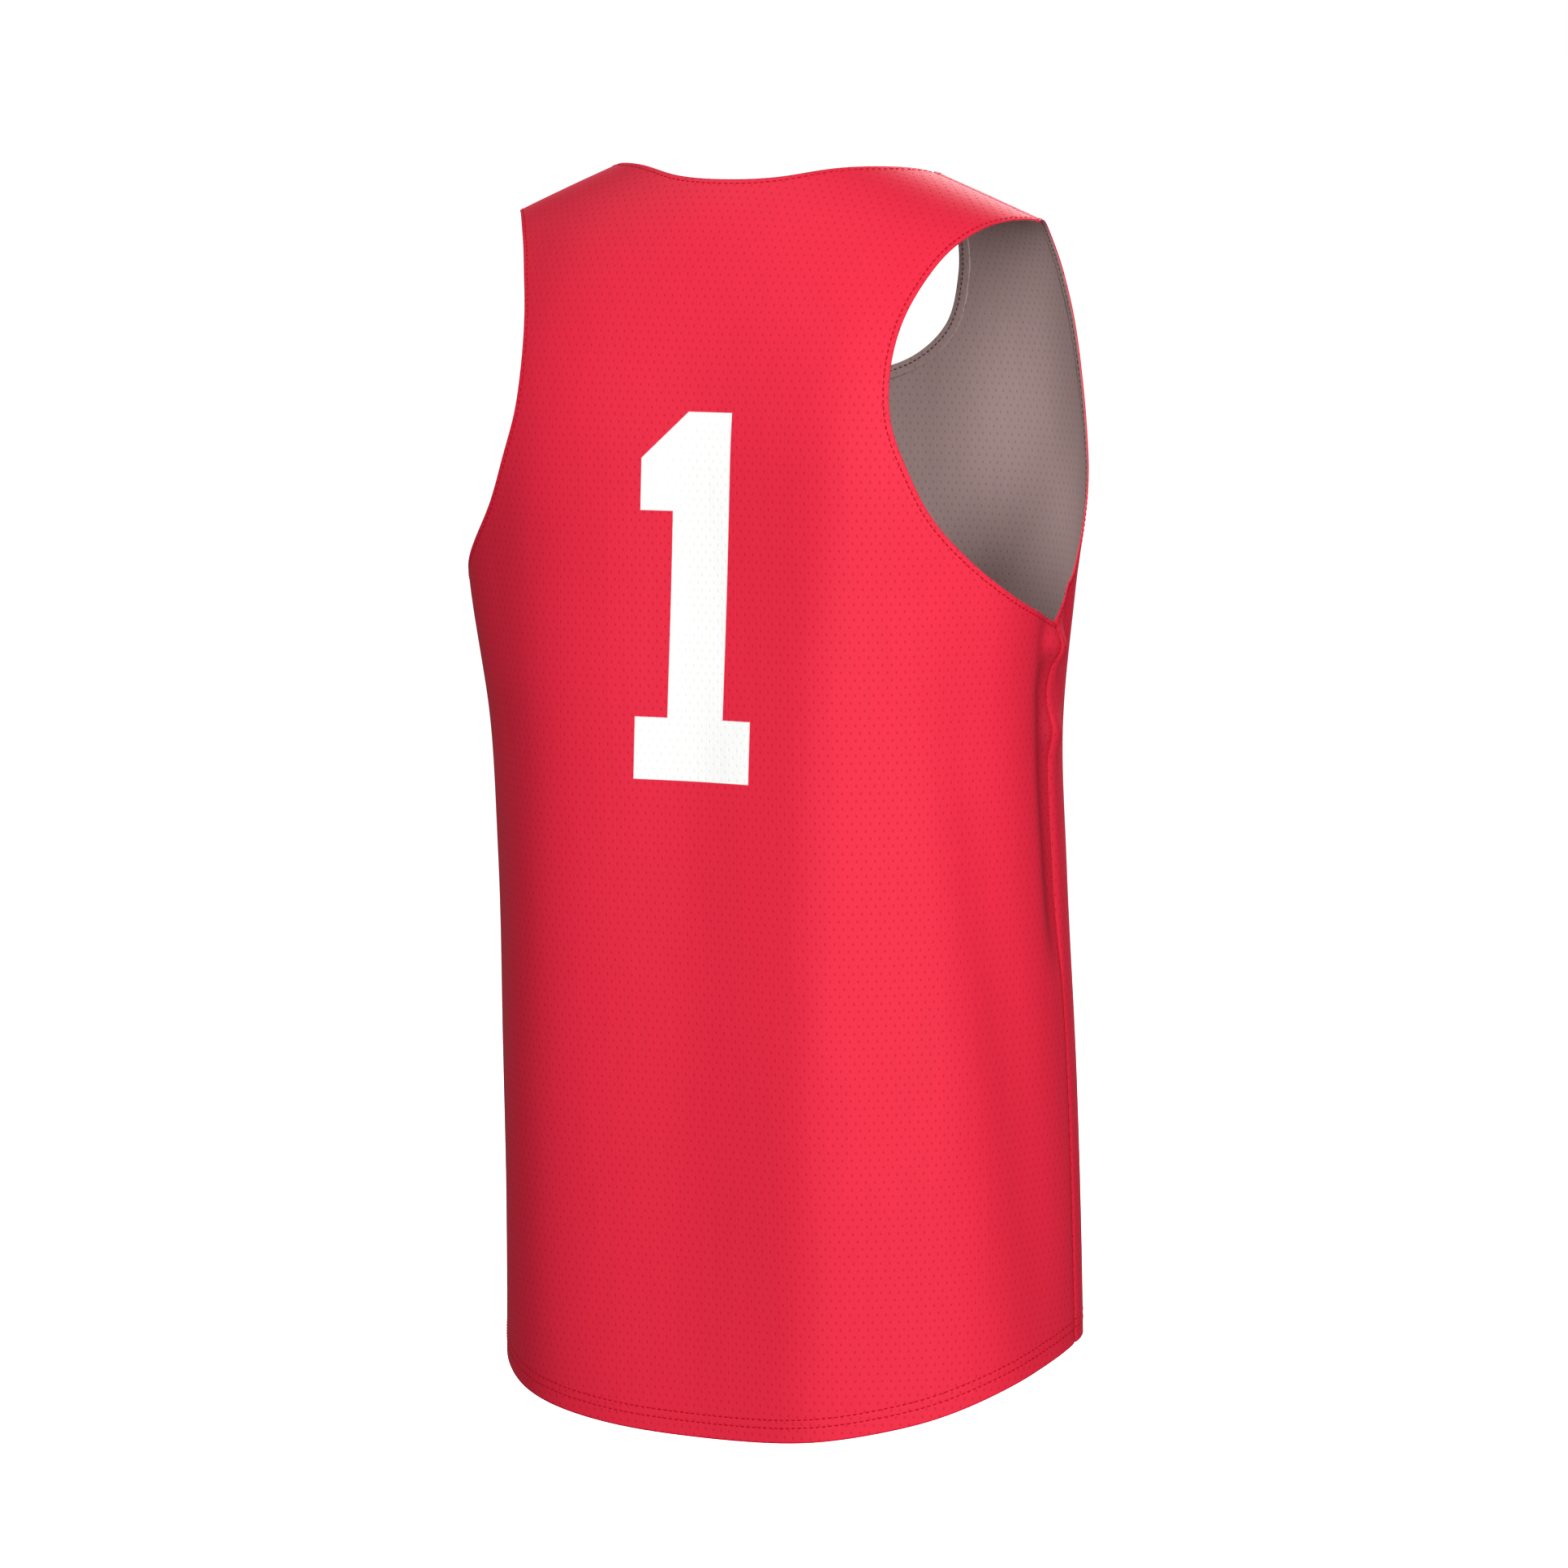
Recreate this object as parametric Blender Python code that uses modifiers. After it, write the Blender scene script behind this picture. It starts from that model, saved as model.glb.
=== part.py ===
"""Sleeveless field hockey jersey, hollow and filled out as if worn, built from its cut.

Frame: metres, +Z up, +Y out of the back, +X to the wearer's left. The origin lies midway
between the two neck points, where a wearer's shoulders hold the jersey up.

The jersey has two pieces of cloth, a back and a front. Each is cut in the flat: a point of
a piece is (out, up), its distance along the cloth from the centre line, and its height
along the cloth. Below the yoke the cloth hangs as rings, and up is the height z itself.
Above the yoke it arches over the shoulder up to the shoulder seam. filled_out() carries a
flat point to its place on the jersey, and the folds then lift or sink it.
"""

from collections import namedtuple

import bpy
import numpy as np

# Driving sizes, in metres
NAME = "field_hockey_jersey"
CLOTH = 0.0016  # wall of the knit, with its loft
SEAM_GAP = 0.0004  # between the two pieces along a seam
YOKE = -0.165  # height where the rings end and the shoulder arches begin
UNDERARM = -0.2545  # height of the foot of each armhole
NECK_HALF = 0.1015  # from the middle to a neck point
SHOULDER_TIP = 0.1655  # from the middle to the outer end of a shoulder seam
SHOULDER_SLOPE = 0.44  # fall of the shoulder seam over its run
SHOULDER_Y = 0.006  # the neck points lie this far behind the origin
SHOULDER_LEAN = 0.085  # the shoulder seam comes forward by this much of its run
CROWN = 0.045  # rounds off the crest of the form between the neck points
QUARTER = 0.24  # mean cloth width from a centre line to a side seam

BACK, FRONT = 1.0, -1.0  # the side of the body, as the sign of y

# Rings of the filled-out body, from below the hem up to the yoke. A ring has a half width,
# a centre, and for each piece a depth from the centre and a squareness, the power of a
# superellipse: 2 is an ellipse, and more is squarer.
Ring = namedtuple(
    "Ring", "up half_width centre_y back_depth back_square front_depth front_square"
)
RINGS = (
    Ring(-0.800, 0.1765, -0.036, 0.140, 2.4, 0.071, 2.4),
    Ring(-0.660, 0.1757, -0.034, 0.141, 2.4, 0.071, 2.4),
    Ring(-0.520, 0.1737, -0.026, 0.139, 2.4, 0.075, 2.4),
    Ring(-0.400, 0.1707, -0.014, 0.131, 2.4, 0.084, 2.4),
    Ring(-0.320, 0.1717, -0.002, 0.120, 2.4, 0.099, 2.3),
    Ring(-0.240, 0.1797, 0.010, 0.107, 2.6, 0.124, 2.4),
    Ring(-0.165, 0.1822, 0.008, 0.109, 3.0, 0.125, 2.9),
)

# The cut of each piece. A cut line goes through its marks in a smooth curve.
Mark = namedtuple("Mark", "out up")
BACK_NECK = (
    Mark(0.0, 0.0060),
    Mark(0.0330, 0.0100),
    Mark(0.0600, 0.0218),
    Mark(0.0850, 0.0352),
)
FRONT_NECK = (
    Mark(0.0, -0.1215),
    Mark(0.0345, -0.1133),
    Mark(0.0610, -0.0920),
    Mark(0.0755, -0.0590),
    Mark(0.0860, -0.0080),
)
BACK_ARMHOLE = (
    Mark(0.1945, -0.2361),
    Mark(0.1648, -0.2139),
    Mark(0.1440, -0.1906),
    Mark(0.1300, -0.1632),
    Mark(0.1200, -0.1361),
    Mark(0.1176, -0.1110),
    Mark(0.1206, -0.0806),
    Mark(0.1280, -0.0558),
    Mark(0.1404, -0.0277),
    Mark(0.1560, -0.0073),
)
FRONT_ARMHOLE = (
    Mark(0.2181, -0.2265),
    Mark(0.2010, -0.1985),
    Mark(0.1860, -0.1650),
    Mark(0.1755, -0.1227),
    Mark(0.1710, -0.0840),
    Mark(0.1680, -0.0539),
    Mark(0.1690, -0.0200),
)
# The hem drops at the back: its height at shares of the way from the centre to the side
Drop = namedtuple("Drop", "share up")
BACK_HEM = (
    Drop(0.0, -0.7255),
    Drop(0.25, -0.7225),
    Drop(0.5, -0.7120),
    Drop(0.75, -0.6940),
    Drop(1.0, -0.6800),
)
FRONT_HEM = (
    Drop(0.0, -0.6665),
    Drop(0.5, -0.6685),
    Drop(0.8, -0.6735),
    Drop(1.0, -0.6800),
)

CUT = {
    BACK: (BACK_HEM, BACK_ARMHOLE, BACK_NECK),
    FRONT: (FRONT_HEM, FRONT_ARMHOLE, FRONT_NECK),
}

# The largest folds. turn goes round the jersey in quarters from the centre back: 1 is the
# left side seam, -1 the right one, and 2 or -2 the centre front. A fold runs from its head
# to its foot, and fades out at both. A ridge has a positive height, a trough a negative one.
Fold = namedtuple("Fold", "name head_turn head_up foot_turn foot_up half_width height")
FOLDS = (
    Fold("right blade ridge", -0.42, 0.02, -0.45, -0.90, 0.030, 0.0026),
    Fold("centre back trough", -0.12, 0.02, -0.04, -0.80, 0.032, -0.0026),
    Fold("left blade ridge", 0.24, 0.01, 0.25, -0.66, 0.032, 0.0020),
    Fold("right waist trough", -0.60, -0.32, -0.80, -0.74, 0.020, -0.0034),
    Fold("left waist trough", 0.62, -0.34, 0.78, -0.78, 0.022, -0.0028),
    Fold("right side valley", -0.93, -0.25, -0.96, -0.42, 0.010, -0.0045),
    Fold("left side valley", 0.92, -0.25, 0.97, -0.44, 0.011, -0.0040),
    Fold("right chest ridge", -1.58, -0.05, -1.52, -0.84, 0.030, 0.0026),
    Fold("centre chest trough", -1.97, -0.20, 1.96, -0.80, 0.034, -0.0028),
    Fold("left chest ridge", 1.60, -0.06, 1.55, -0.80, 0.028, 0.0024),
    Fold("right hip trough", -1.30, -0.36, -1.24, -0.80, 0.020, -0.0030),
    Fold("left hip trough", 1.28, -0.33, 1.20, -0.76, 0.019, -0.0028),
)

# Faces along the seams, which both pieces share
SIDE_FACES = 23
SHOULDER_FACES = 6

# The other faces of each piece, and the shares of its armhole and of its neckline where its
# grid steps in: at the underarm, and where the straps part
Layout = namedtuple("Layout", "under chest strap neck under_end strap_start neck_split")
LAYOUT = {
    BACK: Layout(6, 9, 6, 10, under_end=0.36, strap_start=0.80, neck_split=0.50),
    FRONT: Layout(6, 6, 9, 12, under_end=0.26, strap_start=0.56, neck_split=0.44),
}
SETTLING = 60  # rounds that even out the faces

RED = (0.78, 0.035, 0.065, 1.0)
CURVE_STEPS = 64


def smooth_value(knots, values, at, level_end=False):
    """Cubic through the rows of a table, its slope at each row taken from both neighbours.

    level_end makes the curve level at its last row.
    """
    knots = np.asarray(knots, float)
    values = np.asarray(values, float)
    step = np.diff(knots)
    rise = np.diff(values) / step
    slope = np.empty_like(values)
    slope[1:-1] = (rise[:-1] * step[1:] + rise[1:] * step[:-1]) / (step[:-1] + step[1:])
    slope[0] = rise[0]
    slope[-1] = 0.0 if level_end else rise[-1]
    at = np.clip(at, knots[0], knots[-1])
    row = np.clip(np.searchsorted(knots, at, side="right") - 1, 0, len(step) - 1)
    h = step[row]
    t = (at - knots[row]) / h
    ends = (1 + 2 * t) * (1 - t) ** 2 * values[row] + t * t * (3 - 2 * t) * values[row + 1]
    lean = t * (1 - t) ** 2 * slope[row] - t * t * (1 - t) * slope[row + 1]
    return ends + h * lean


def at_length(curve, top, distance):
    """The parameter at which each curve has run its distance, and each curve's length.

    curve(parameter) gives x and y for a column of parameters from 0 to top.
    """
    steps = np.linspace(0.0, top, CURVE_STEPS + 1)[:, None]
    x, y = curve(steps)
    runs = np.cumsum(np.hypot(np.diff(x, axis=0), np.diff(y, axis=0)), axis=0)
    runs = np.vstack([np.zeros((1, x.shape[1])), runs])
    row = np.clip((runs < distance).sum(axis=0), 1, CURVE_STEPS)
    column = np.arange(x.shape[1])
    before = runs[row - 1, column]
    share = (distance - before) / (runs[row, column] - before)
    return (row - 1 + share) * top / CURVE_STEPS, runs[-1]


def ring_curve(up, side):
    """A quarter of the ring at each height, from the centre line round to the side seam.

    The ring is a superellipse, in polar form: (x / half_width)^n + (y / depth)^n = 1.
    """
    piece = "back" if side == BACK else "front"
    heights = [ring.up for ring in RINGS]

    def column(name):
        rows = [getattr(ring, name) for ring in RINGS]
        return smooth_value(heights, rows, up, level_end=True)

    half_width, centre_y = column("half_width"), column("centre_y")
    depth, square = column(piece + "_depth"), column(piece + "_square")

    def curve(angle):
        across = np.abs(np.sin(angle)) / half_width
        through = np.abs(np.cos(angle)) / depth
        radius = (across**square + through**square) ** (-1.0 / square)
        return radius * np.sin(angle), radius * np.cos(angle)

    return curve, centre_y


def side_width(up, side):
    """Cloth width from the centre line to the side seam at each height."""
    up = np.minimum(np.atleast_1d(up), YOKE)
    curve, _ = ring_curve(up, side)
    return at_length(curve, np.pi / 2, np.zeros_like(up))[1]


def arch_curve(x, y):
    """The arch from the yoke ring at (x, y) up to the shoulder seam, a quarter ellipse.

    The seam falls and comes forward with its run, which is rounded off at the middle.
    """
    run = np.hypot(x, CROWN) - np.hypot(NECK_HALF, CROWN)
    seam_y = SHOULDER_Y - SHOULDER_LEAN * run
    rise = -SHOULDER_SLOPE * run - YOKE

    def curve(angle):
        return seam_y + (y - seam_y) * np.cos(angle), rise * np.sin(angle)

    return curve


def filled_out(out, up, side):
    """Places on the filled-out jersey of flat points, without the folds."""
    ring_up = np.minimum(up, YOKE)
    ring, centre_y = ring_curve(ring_up, side)
    angle, _ = at_length(ring, np.pi / 2, np.abs(out))
    x, depth = ring(angle)
    x = x * np.sign(out)
    y = centre_y + side * depth
    arch = arch_curve(x, y)
    angle, _ = at_length(arch, np.pi / 2, np.maximum(up - YOKE, 0.0))
    arch_y, arch_z = arch(angle)
    arched = up > YOKE
    return np.stack(
        [x, np.where(arched, arch_y, y), np.where(arched, YOKE + arch_z, up)], axis=-1
    )


def outward(out, up, side):
    """Unit normals of the filled-out jersey, from small steps across and up the cloth."""
    step = 0.0004
    across = filled_out(out + step, up, side) - filled_out(out - step, up, side)
    along = filled_out(out, up + step, side) - filled_out(out, up - step, side)
    normal = side * np.cross(along, across)
    return normal / np.linalg.norm(normal, axis=-1, keepdims=True)


def turn_of(out, up, side):
    """How far round the jersey flat points lie, in quarters from the centre back."""
    share = out / side_width(up, side)
    if side == BACK:
        return share
    return np.where(share < 0, -1.0, 1.0) * (2.0 - np.abs(share))


def fold_height(turn, up):
    """Sum of the folds: each is a bell across its line, and fades at its head and foot."""
    total = np.zeros_like(up)
    for fold in FOLDS:
        round_by = (fold.foot_turn - fold.head_turn + 2.0) % 4.0 - 2.0
        run = np.array([round_by * QUARTER, fold.foot_up - fold.head_up])
        length = np.linalg.norm(run)
        aside = ((turn - fold.head_turn + 2.0) % 4.0 - 2.0) * QUARTER
        below = up - fold.head_up
        share = np.clip((aside * run[0] + below * run[1]) / length**2, 0.0, 1.0)
        away = (aside * run[1] - below * run[0]) / length
        fade = (1.0 - (2.0 * share - 1.0) ** 4) ** 2
        total += fold.height * fade * np.exp(-((away / fold.half_width) ** 2))
    return total


def worn(out, up, side):
    """Places on the jersey of flat points, with the folds."""
    lift = fold_height(turn_of(out, up, side), up)
    return filled_out(out, up, side) + outward(out, up, side) * lift[:, None]


def crest(x, side):
    """Flat points of the shoulder seam at each distance x from the middle."""
    trial = np.linspace(0.0, 0.22, 441)
    ring, _ = ring_curve(np.full_like(trial, YOKE), side)
    angle, _ = at_length(ring, np.pi / 2, trial)
    out = np.interp(x, ring(angle)[0], trial)
    ring, centre_y = ring_curve(np.full_like(out, YOKE), side)
    angle, _ = at_length(ring, np.pi / 2, out)
    _, depth = ring(angle)
    arch = arch_curve(x, centre_y + side * depth)
    rise = at_length(arch, np.pi / 2, np.zeros_like(out))[1]
    return np.stack([out, YOKE + rise - SEAM_GAP / 2], axis=-1)


def through(marks, count=801):
    """A smooth line through the marks, by their chord lengths."""
    marks = np.asarray(marks, float)
    chords = np.linalg.norm(np.diff(marks, axis=0), axis=1)
    knots = np.concatenate([[0.0], np.cumsum(chords)])
    at = np.linspace(0.0, knots[-1], count)
    return np.stack([smooth_value(knots, marks[:, k], at) for k in (0, 1)], axis=-1)


def even(line, count, start=0.0, stop=1.0):
    """count equal steps along a line, between two shares of its length."""
    runs = np.linalg.norm(np.diff(line, axis=0), axis=1)
    runs = np.concatenate([[0.0], np.cumsum(runs)])
    at = np.linspace(start, stop, count + 1) * runs[-1]
    return np.stack([np.interp(at, runs, line[:, k]) for k in (0, 1)], axis=-1)


def between(bottom, top, left, right):
    """Fills four edges with a grid: the two ruled fills, less the one of the corners."""
    s = np.linspace(0.0, 1.0, len(bottom))[None, :, None]
    t = np.linspace(0.0, 1.0, len(left))[:, None, None]
    upward = (1 - t) * bottom[None] + t * top[None]
    across = (1 - s) * left[:, None] + s * right[:, None]
    foot = (1 - s) * bottom[0] + s * bottom[-1]
    head = (1 - s) * top[0] + s * top[-1]
    return upward + across - ((1 - t) * foot + t * head)


def mirrored(line):
    return line * np.array([-1.0, 1.0])


def cut_lines(side):
    """The left half of a piece's outline: side seam, armhole, shoulder and neckline."""
    hem_rows, armhole_marks, neck_marks = CUT[side]
    seam_up = np.linspace(hem_rows[-1].up, UNDERARM, SIDE_FACES + 1)
    seam_out = side_width(seam_up, side) - SEAM_GAP / 2
    seam = np.stack([seam_out, seam_up], axis=-1)
    shoulder = crest(np.linspace(NECK_HALF, SHOULDER_TIP, SHOULDER_FACES + 1), side)
    armhole = through([seam[-1], *armhole_marks, shoulder[-1]])
    other_half = [Mark(-mark.out, mark.up) for mark in neck_marks[:0:-1]]
    whole_neck = through([mirrored(shoulder[0]), *other_half, *neck_marks, shoulder[0]])
    neckline = whole_neck[len(whole_neck) // 2 :]
    return seam, armhole, shoulder, neckline


def hem_line(side, width, count):
    """The hem from the right side seam to the left one."""
    rows = CUT[side][0]
    share = np.linspace(-1.0, 1.0, count + 1)
    shares = [-row.share for row in rows[:0:-1]] + [row.share for row in rows]
    heights = [row.up for row in rows[:0:-1]] + [row.up for row in rows]
    return np.stack([share * width, smooth_value(shares, heights, share)], axis=-1)


def both_halves(half):
    """A line from the centre out to the left, with its mirror image before it."""
    return np.concatenate([mirrored(half)[:0:-1], half])


def flat_grid(side):
    """The piece as a grid of flat points, and which of its cells are cloth.

    The grid has three stretches of rows. The first runs from the hem to the underarms.
    The second is narrower, and runs between the armholes to the neckline. The third is
    the two straps. Their inner points then settle to the middle of their neighbours.
    """
    layout = LAYOUT[side]
    seam, armhole, shoulder, neckline = cut_lines(side)
    under = even(armhole, layout.under, 0.0, layout.under_end)
    chest_edge = even(armhole, layout.chest, layout.under_end, layout.strap_start)
    strap_edge = even(armhole, layout.strap, layout.strap_start, 1.0)
    low_neck = even(neckline, layout.neck // 2, 0.0, layout.neck_split)
    strap_neck = even(neckline, layout.strap, layout.neck_split, 1.0)
    inner = SHOULDER_FACES + layout.neck // 2
    level = even(np.stack([under[-1] * np.array([0.0, 1.0]), under[-1]]), inner)
    split = even(np.stack([low_neck[-1], chest_edge[-1]]), SHOULDER_FACES)

    body_top = both_halves(np.concatenate([level, under[-2::-1]]))
    chest_top = both_halves(np.concatenate([low_neck, split[1:]]))
    hem = hem_line(side, seam[0, 0], len(body_top) - 1)
    body = between(hem, body_top, mirrored(seam), seam)
    chest = between(both_halves(level), chest_top, mirrored(chest_edge), chest_edge)
    strap = between(split, shoulder, strap_neck, strap_edge)

    rows = SIDE_FACES + layout.chest + layout.strap
    columns = len(hem) - 1
    grid = np.zeros((rows + 1, columns + 1, 2))
    cloth = np.zeros((rows, columns), bool)
    stretches = (
        (strap, rows - layout.strap, columns - layout.under - SHOULDER_FACES),
        (mirrored(strap[:, ::-1]), rows - layout.strap, layout.under),
        (chest, SIDE_FACES, layout.under),
        (body, 0, 0),
    )
    for points, row, column in stretches:
        high, wide, _ = points.shape
        grid[row : row + high, column : column + wide] = points
        cloth[row : row + high - 1, column : column + wide - 1] = True
    inside = cloth[:-1, :-1] & cloth[:-1, 1:] & cloth[1:, :-1] & cloth[1:, 1:]
    for _ in range(SETTLING):
        around = grid[:-2, 1:-1] + grid[2:, 1:-1] + grid[1:-1, :-2] + grid[1:-1, 2:]
        grid[1:-1, 1:-1][inside] = around[inside] / 4.0
    return grid, cloth


def grid_faces(cloth):
    """Quads of the cloth's cells, facing along -Y on an upright grid, and the used points."""
    rows, columns = np.nonzero(cloth)
    wide = cloth.shape[1] + 1
    corner = rows * wide + columns
    quads = np.stack([corner, corner + 1, corner + wide + 1, corner + wide], axis=-1)
    used, numbered = np.unique(quads, return_inverse=True)
    return numbered.reshape(-1, 4), used


def cloth_material(name):
    material = bpy.data.materials.new(name)
    material.use_nodes = True
    shader = material.node_tree.nodes["Principled BSDF"]
    shader.inputs["Base Color"].default_value = RED
    shader.inputs["Roughness"].default_value = 0.75
    shader.inputs["Metallic"].default_value = 0.0
    material.diffuse_color = RED
    return material


def make_piece(name, side, collection):
    """One cut piece: its flat grid carried to the filled-out jersey, with the cloth's wall."""
    grid, cloth = flat_grid(side)
    quads, used = grid_faces(cloth)
    flat = grid.reshape(-1, 2)[used]
    if side == BACK:
        quads = quads[:, ::-1]
    mesh = bpy.data.meshes.new(name)
    mesh.from_pydata(worn(flat[:, 0], flat[:, 1], side).tolist(), [], quads.tolist())
    mesh.materials.append(cloth_material(name + "_cloth"))
    mesh.shade_smooth()
    piece = bpy.data.objects.new(name, mesh)
    collection.objects.link(piece)
    wall = piece.modifiers.new("Cloth", "SOLIDIFY")
    wall.thickness = CLOTH
    wall.offset = 0.0
    return piece


def main():
    for old in list(bpy.data.objects):
        bpy.data.objects.remove(old, do_unlink=True)
    collection = bpy.data.collections.new(NAME)
    bpy.context.scene.collection.children.link(collection)
    shoulders = bpy.data.objects.new(NAME, None)
    collection.objects.link(shoulders)
    for name, side in (("back_panel", BACK), ("front_panel", FRONT)):
        make_piece(name, side, collection).parent = shoulders


main()
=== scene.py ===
"""Looks of the sleeveless field hockey jersey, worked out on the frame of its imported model.

Frame: metres, +Z up, +Y out of the back, +X to the wearer's left. The cloth is worked out
from its cut: a flat point of a piece is (out, up), its distance along the cloth from the
centre line, and its height along the cloth. The knit and the numeral follow the same flat
points, as the UV map "Cut", in metres.
"""

import math
from collections import namedtuple

import bpy
import numpy as np
from bpy.props import FloatProperty, FloatVectorProperty, PointerProperty
from bpy.types import Operator, Panel, PropertyGroup
from mathutils import Matrix


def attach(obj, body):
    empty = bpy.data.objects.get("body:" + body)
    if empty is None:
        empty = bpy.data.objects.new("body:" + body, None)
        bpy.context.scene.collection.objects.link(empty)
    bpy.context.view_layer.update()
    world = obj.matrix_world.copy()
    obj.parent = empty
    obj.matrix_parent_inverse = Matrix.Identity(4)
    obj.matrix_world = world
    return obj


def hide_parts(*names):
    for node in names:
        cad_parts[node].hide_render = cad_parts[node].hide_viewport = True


bl_info = {
    "name": "Field hockey jersey",
    "version": (1, 0, 0),
    "blender": (4, 5, 0),
    "location": "3D View > Sidebar > Jersey",
    "description": "Builds the cloth, turned edges, seams and stitching of a jersey",
    "category": "Object",
}

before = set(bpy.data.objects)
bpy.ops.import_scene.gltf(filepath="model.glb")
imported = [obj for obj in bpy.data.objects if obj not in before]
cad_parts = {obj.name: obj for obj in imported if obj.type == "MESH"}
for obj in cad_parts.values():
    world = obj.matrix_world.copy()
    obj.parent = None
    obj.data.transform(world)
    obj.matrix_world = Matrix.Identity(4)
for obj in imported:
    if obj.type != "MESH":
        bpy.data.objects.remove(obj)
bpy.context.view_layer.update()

BACK, FRONT = 1.0, -1.0  # the side of the body, as the sign of y
NAMES = {BACK: "back", FRONT: "front"}
MM = 0.001

# ---- The filled-out form and its cut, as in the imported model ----
YOKE = -0.165  # height where the rings end and the shoulder arches begin
UNDERARM = -0.2545
NECK_HALF = 0.1015
SHOULDER_TIP = 0.1655
SHOULDER_SLOPE = 0.44
SHOULDER_Y = 0.006
SHOULDER_LEAN = 0.085
CROWN = 0.045
QUARTER = 0.24  # mean cloth width from a centre line to a side seam

Ring = namedtuple(
    "Ring", "up half_width centre_y back_depth back_square front_depth front_square"
)
RINGS = (
    Ring(-0.800, 0.1765, -0.036, 0.140, 2.4, 0.071, 2.4),
    Ring(-0.660, 0.1757, -0.034, 0.141, 2.4, 0.071, 2.4),
    Ring(-0.520, 0.1737, -0.026, 0.139, 2.4, 0.075, 2.4),
    Ring(-0.400, 0.1707, -0.014, 0.131, 2.4, 0.084, 2.4),
    Ring(-0.320, 0.1717, -0.002, 0.120, 2.4, 0.099, 2.3),
    Ring(-0.240, 0.1797, 0.010, 0.107, 2.6, 0.124, 2.4),
    Ring(-0.165, 0.1822, 0.008, 0.109, 3.0, 0.125, 2.9),
)

# Flat points (out, up) of each piece's left half: necks from the centre line, and armholes
# from the underarm up
BACK_NECK = ((0.0, 0.0060), (0.0330, 0.0100), (0.0600, 0.0218), (0.0850, 0.0352))
FRONT_NECK = (
    (0.0, -0.1215), (0.0345, -0.1133), (0.0610, -0.0920), (0.0755, -0.0590), (0.0860, -0.0080)
)
BACK_ARMHOLE = (
    (0.1945, -0.2361), (0.1648, -0.2139), (0.1440, -0.1906), (0.1300, -0.1632),
    (0.1200, -0.1361), (0.1176, -0.1110), (0.1206, -0.0806), (0.1280, -0.0558),
    (0.1404, -0.0277), (0.1560, -0.0073)
)
FRONT_ARMHOLE = (
    (0.2181, -0.2265), (0.2010, -0.1985), (0.1860, -0.1650), (0.1755, -0.1227),
    (0.1710, -0.0840), (0.1680, -0.0539), (0.1690, -0.0200)
)
# The hems, as (share of the way to the side seam, up)
BACK_HEM = ((0.0, -0.7255), (0.25, -0.7225), (0.5, -0.7120), (0.75, -0.6940), (1.0, -0.6800))
FRONT_HEM = ((0.0, -0.6665), (0.5, -0.6685), (0.8, -0.6735), (1.0, -0.6800))
CUT = {
    BACK: (BACK_HEM, BACK_ARMHOLE, BACK_NECK),
    FRONT: (FRONT_HEM, FRONT_ARMHOLE, FRONT_NECK),
}

# The folds. turn goes round the jersey in quarters from the centre back: 1 is the left side
# seam, -1 the right one, and 2 or -2 the centre front. A ridge has a positive height.
Fold = namedtuple("Fold", "name head_turn head_up foot_turn foot_up half_width height")
FOLDS = (
    Fold("right blade ridge", -0.41, 0.02, -0.24, -0.90, 0.028, 0.0054),
    Fold("centre back hollow", -0.04, 0.02, 0.08, -0.84, 0.046, -0.0066),
    Fold("left blade ridge", 0.40, -0.20, 0.45, -0.80, 0.038, 0.0056),
    Fold("right waist trough", -0.61, -0.16, -0.88, -0.74, 0.026, -0.0052),
    Fold("left waist trough", 0.62, -0.34, 0.78, -0.78, 0.022, -0.0020),
    Fold("right side valley", -0.962, -0.232, -0.975, -0.47, 0.0078, -0.0052),
    Fold("left side valley", 0.92, -0.25, 0.97, -0.44, 0.011, -0.0040),
    Fold("right chest ridge", -1.58, -0.05, -1.52, -0.84, 0.030, 0.0026),
    Fold("centre chest trough", -1.97, -0.20, 1.96, -0.80, 0.034, -0.0028),
    Fold("left chest ridge", 1.60, -0.06, 1.55, -0.80, 0.028, 0.0024),
    Fold("right hip trough", -1.30, -0.36, -1.24, -0.80, 0.020, -0.0030),
    Fold("left hip trough", 1.28, -0.33, 1.20, -0.76, 0.019, -0.0028),
    # small creases at the underarms, across the side seams
    Fold("right underarm ridge", -0.94, -0.264, -1.07, -0.272, 0.0095, 0.0062),
    Fold("right underarm trough", -0.90, -0.290, -1.07, -0.300, 0.0100, -0.0012),
    Fold("right low ridge", -0.95, -0.316, -1.08, -0.322, 0.0110, 0.0034),
    Fold("right strip crease", -1.12, -0.228, -1.05, -0.285, 0.0060, -0.0026),
    Fold("left underarm ridge", 0.95, -0.268, 1.08, -0.262, 0.0100, 0.0050),
    Fold("left underarm trough", 0.90, -0.300, 1.06, -0.292, 0.0110, -0.0030),
    Fold("left strip crease", 1.14, -0.232, 1.06, -0.300, 0.0065, -0.0024),
    # hollows in front of the shoulder seams, and one at the left armhole
    Fold("right shoulder hollow", -1.68, 0.046, -1.345, -0.015, 0.0105, -0.0032),
    Fold("left shoulder hollow", 1.68, 0.046, 1.345, -0.015, 0.0105, -0.0024),
    Fold("left armhole hollow", 0.50, 0.010, 0.62, -0.300, 0.0300, -0.0036),
)
CREASE = 0.32  # troughs steeper than this, depth over half width, get painted shade in their depth
CREASE_WIDER = 1.25  # how much wider that shade is than its trough

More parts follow.
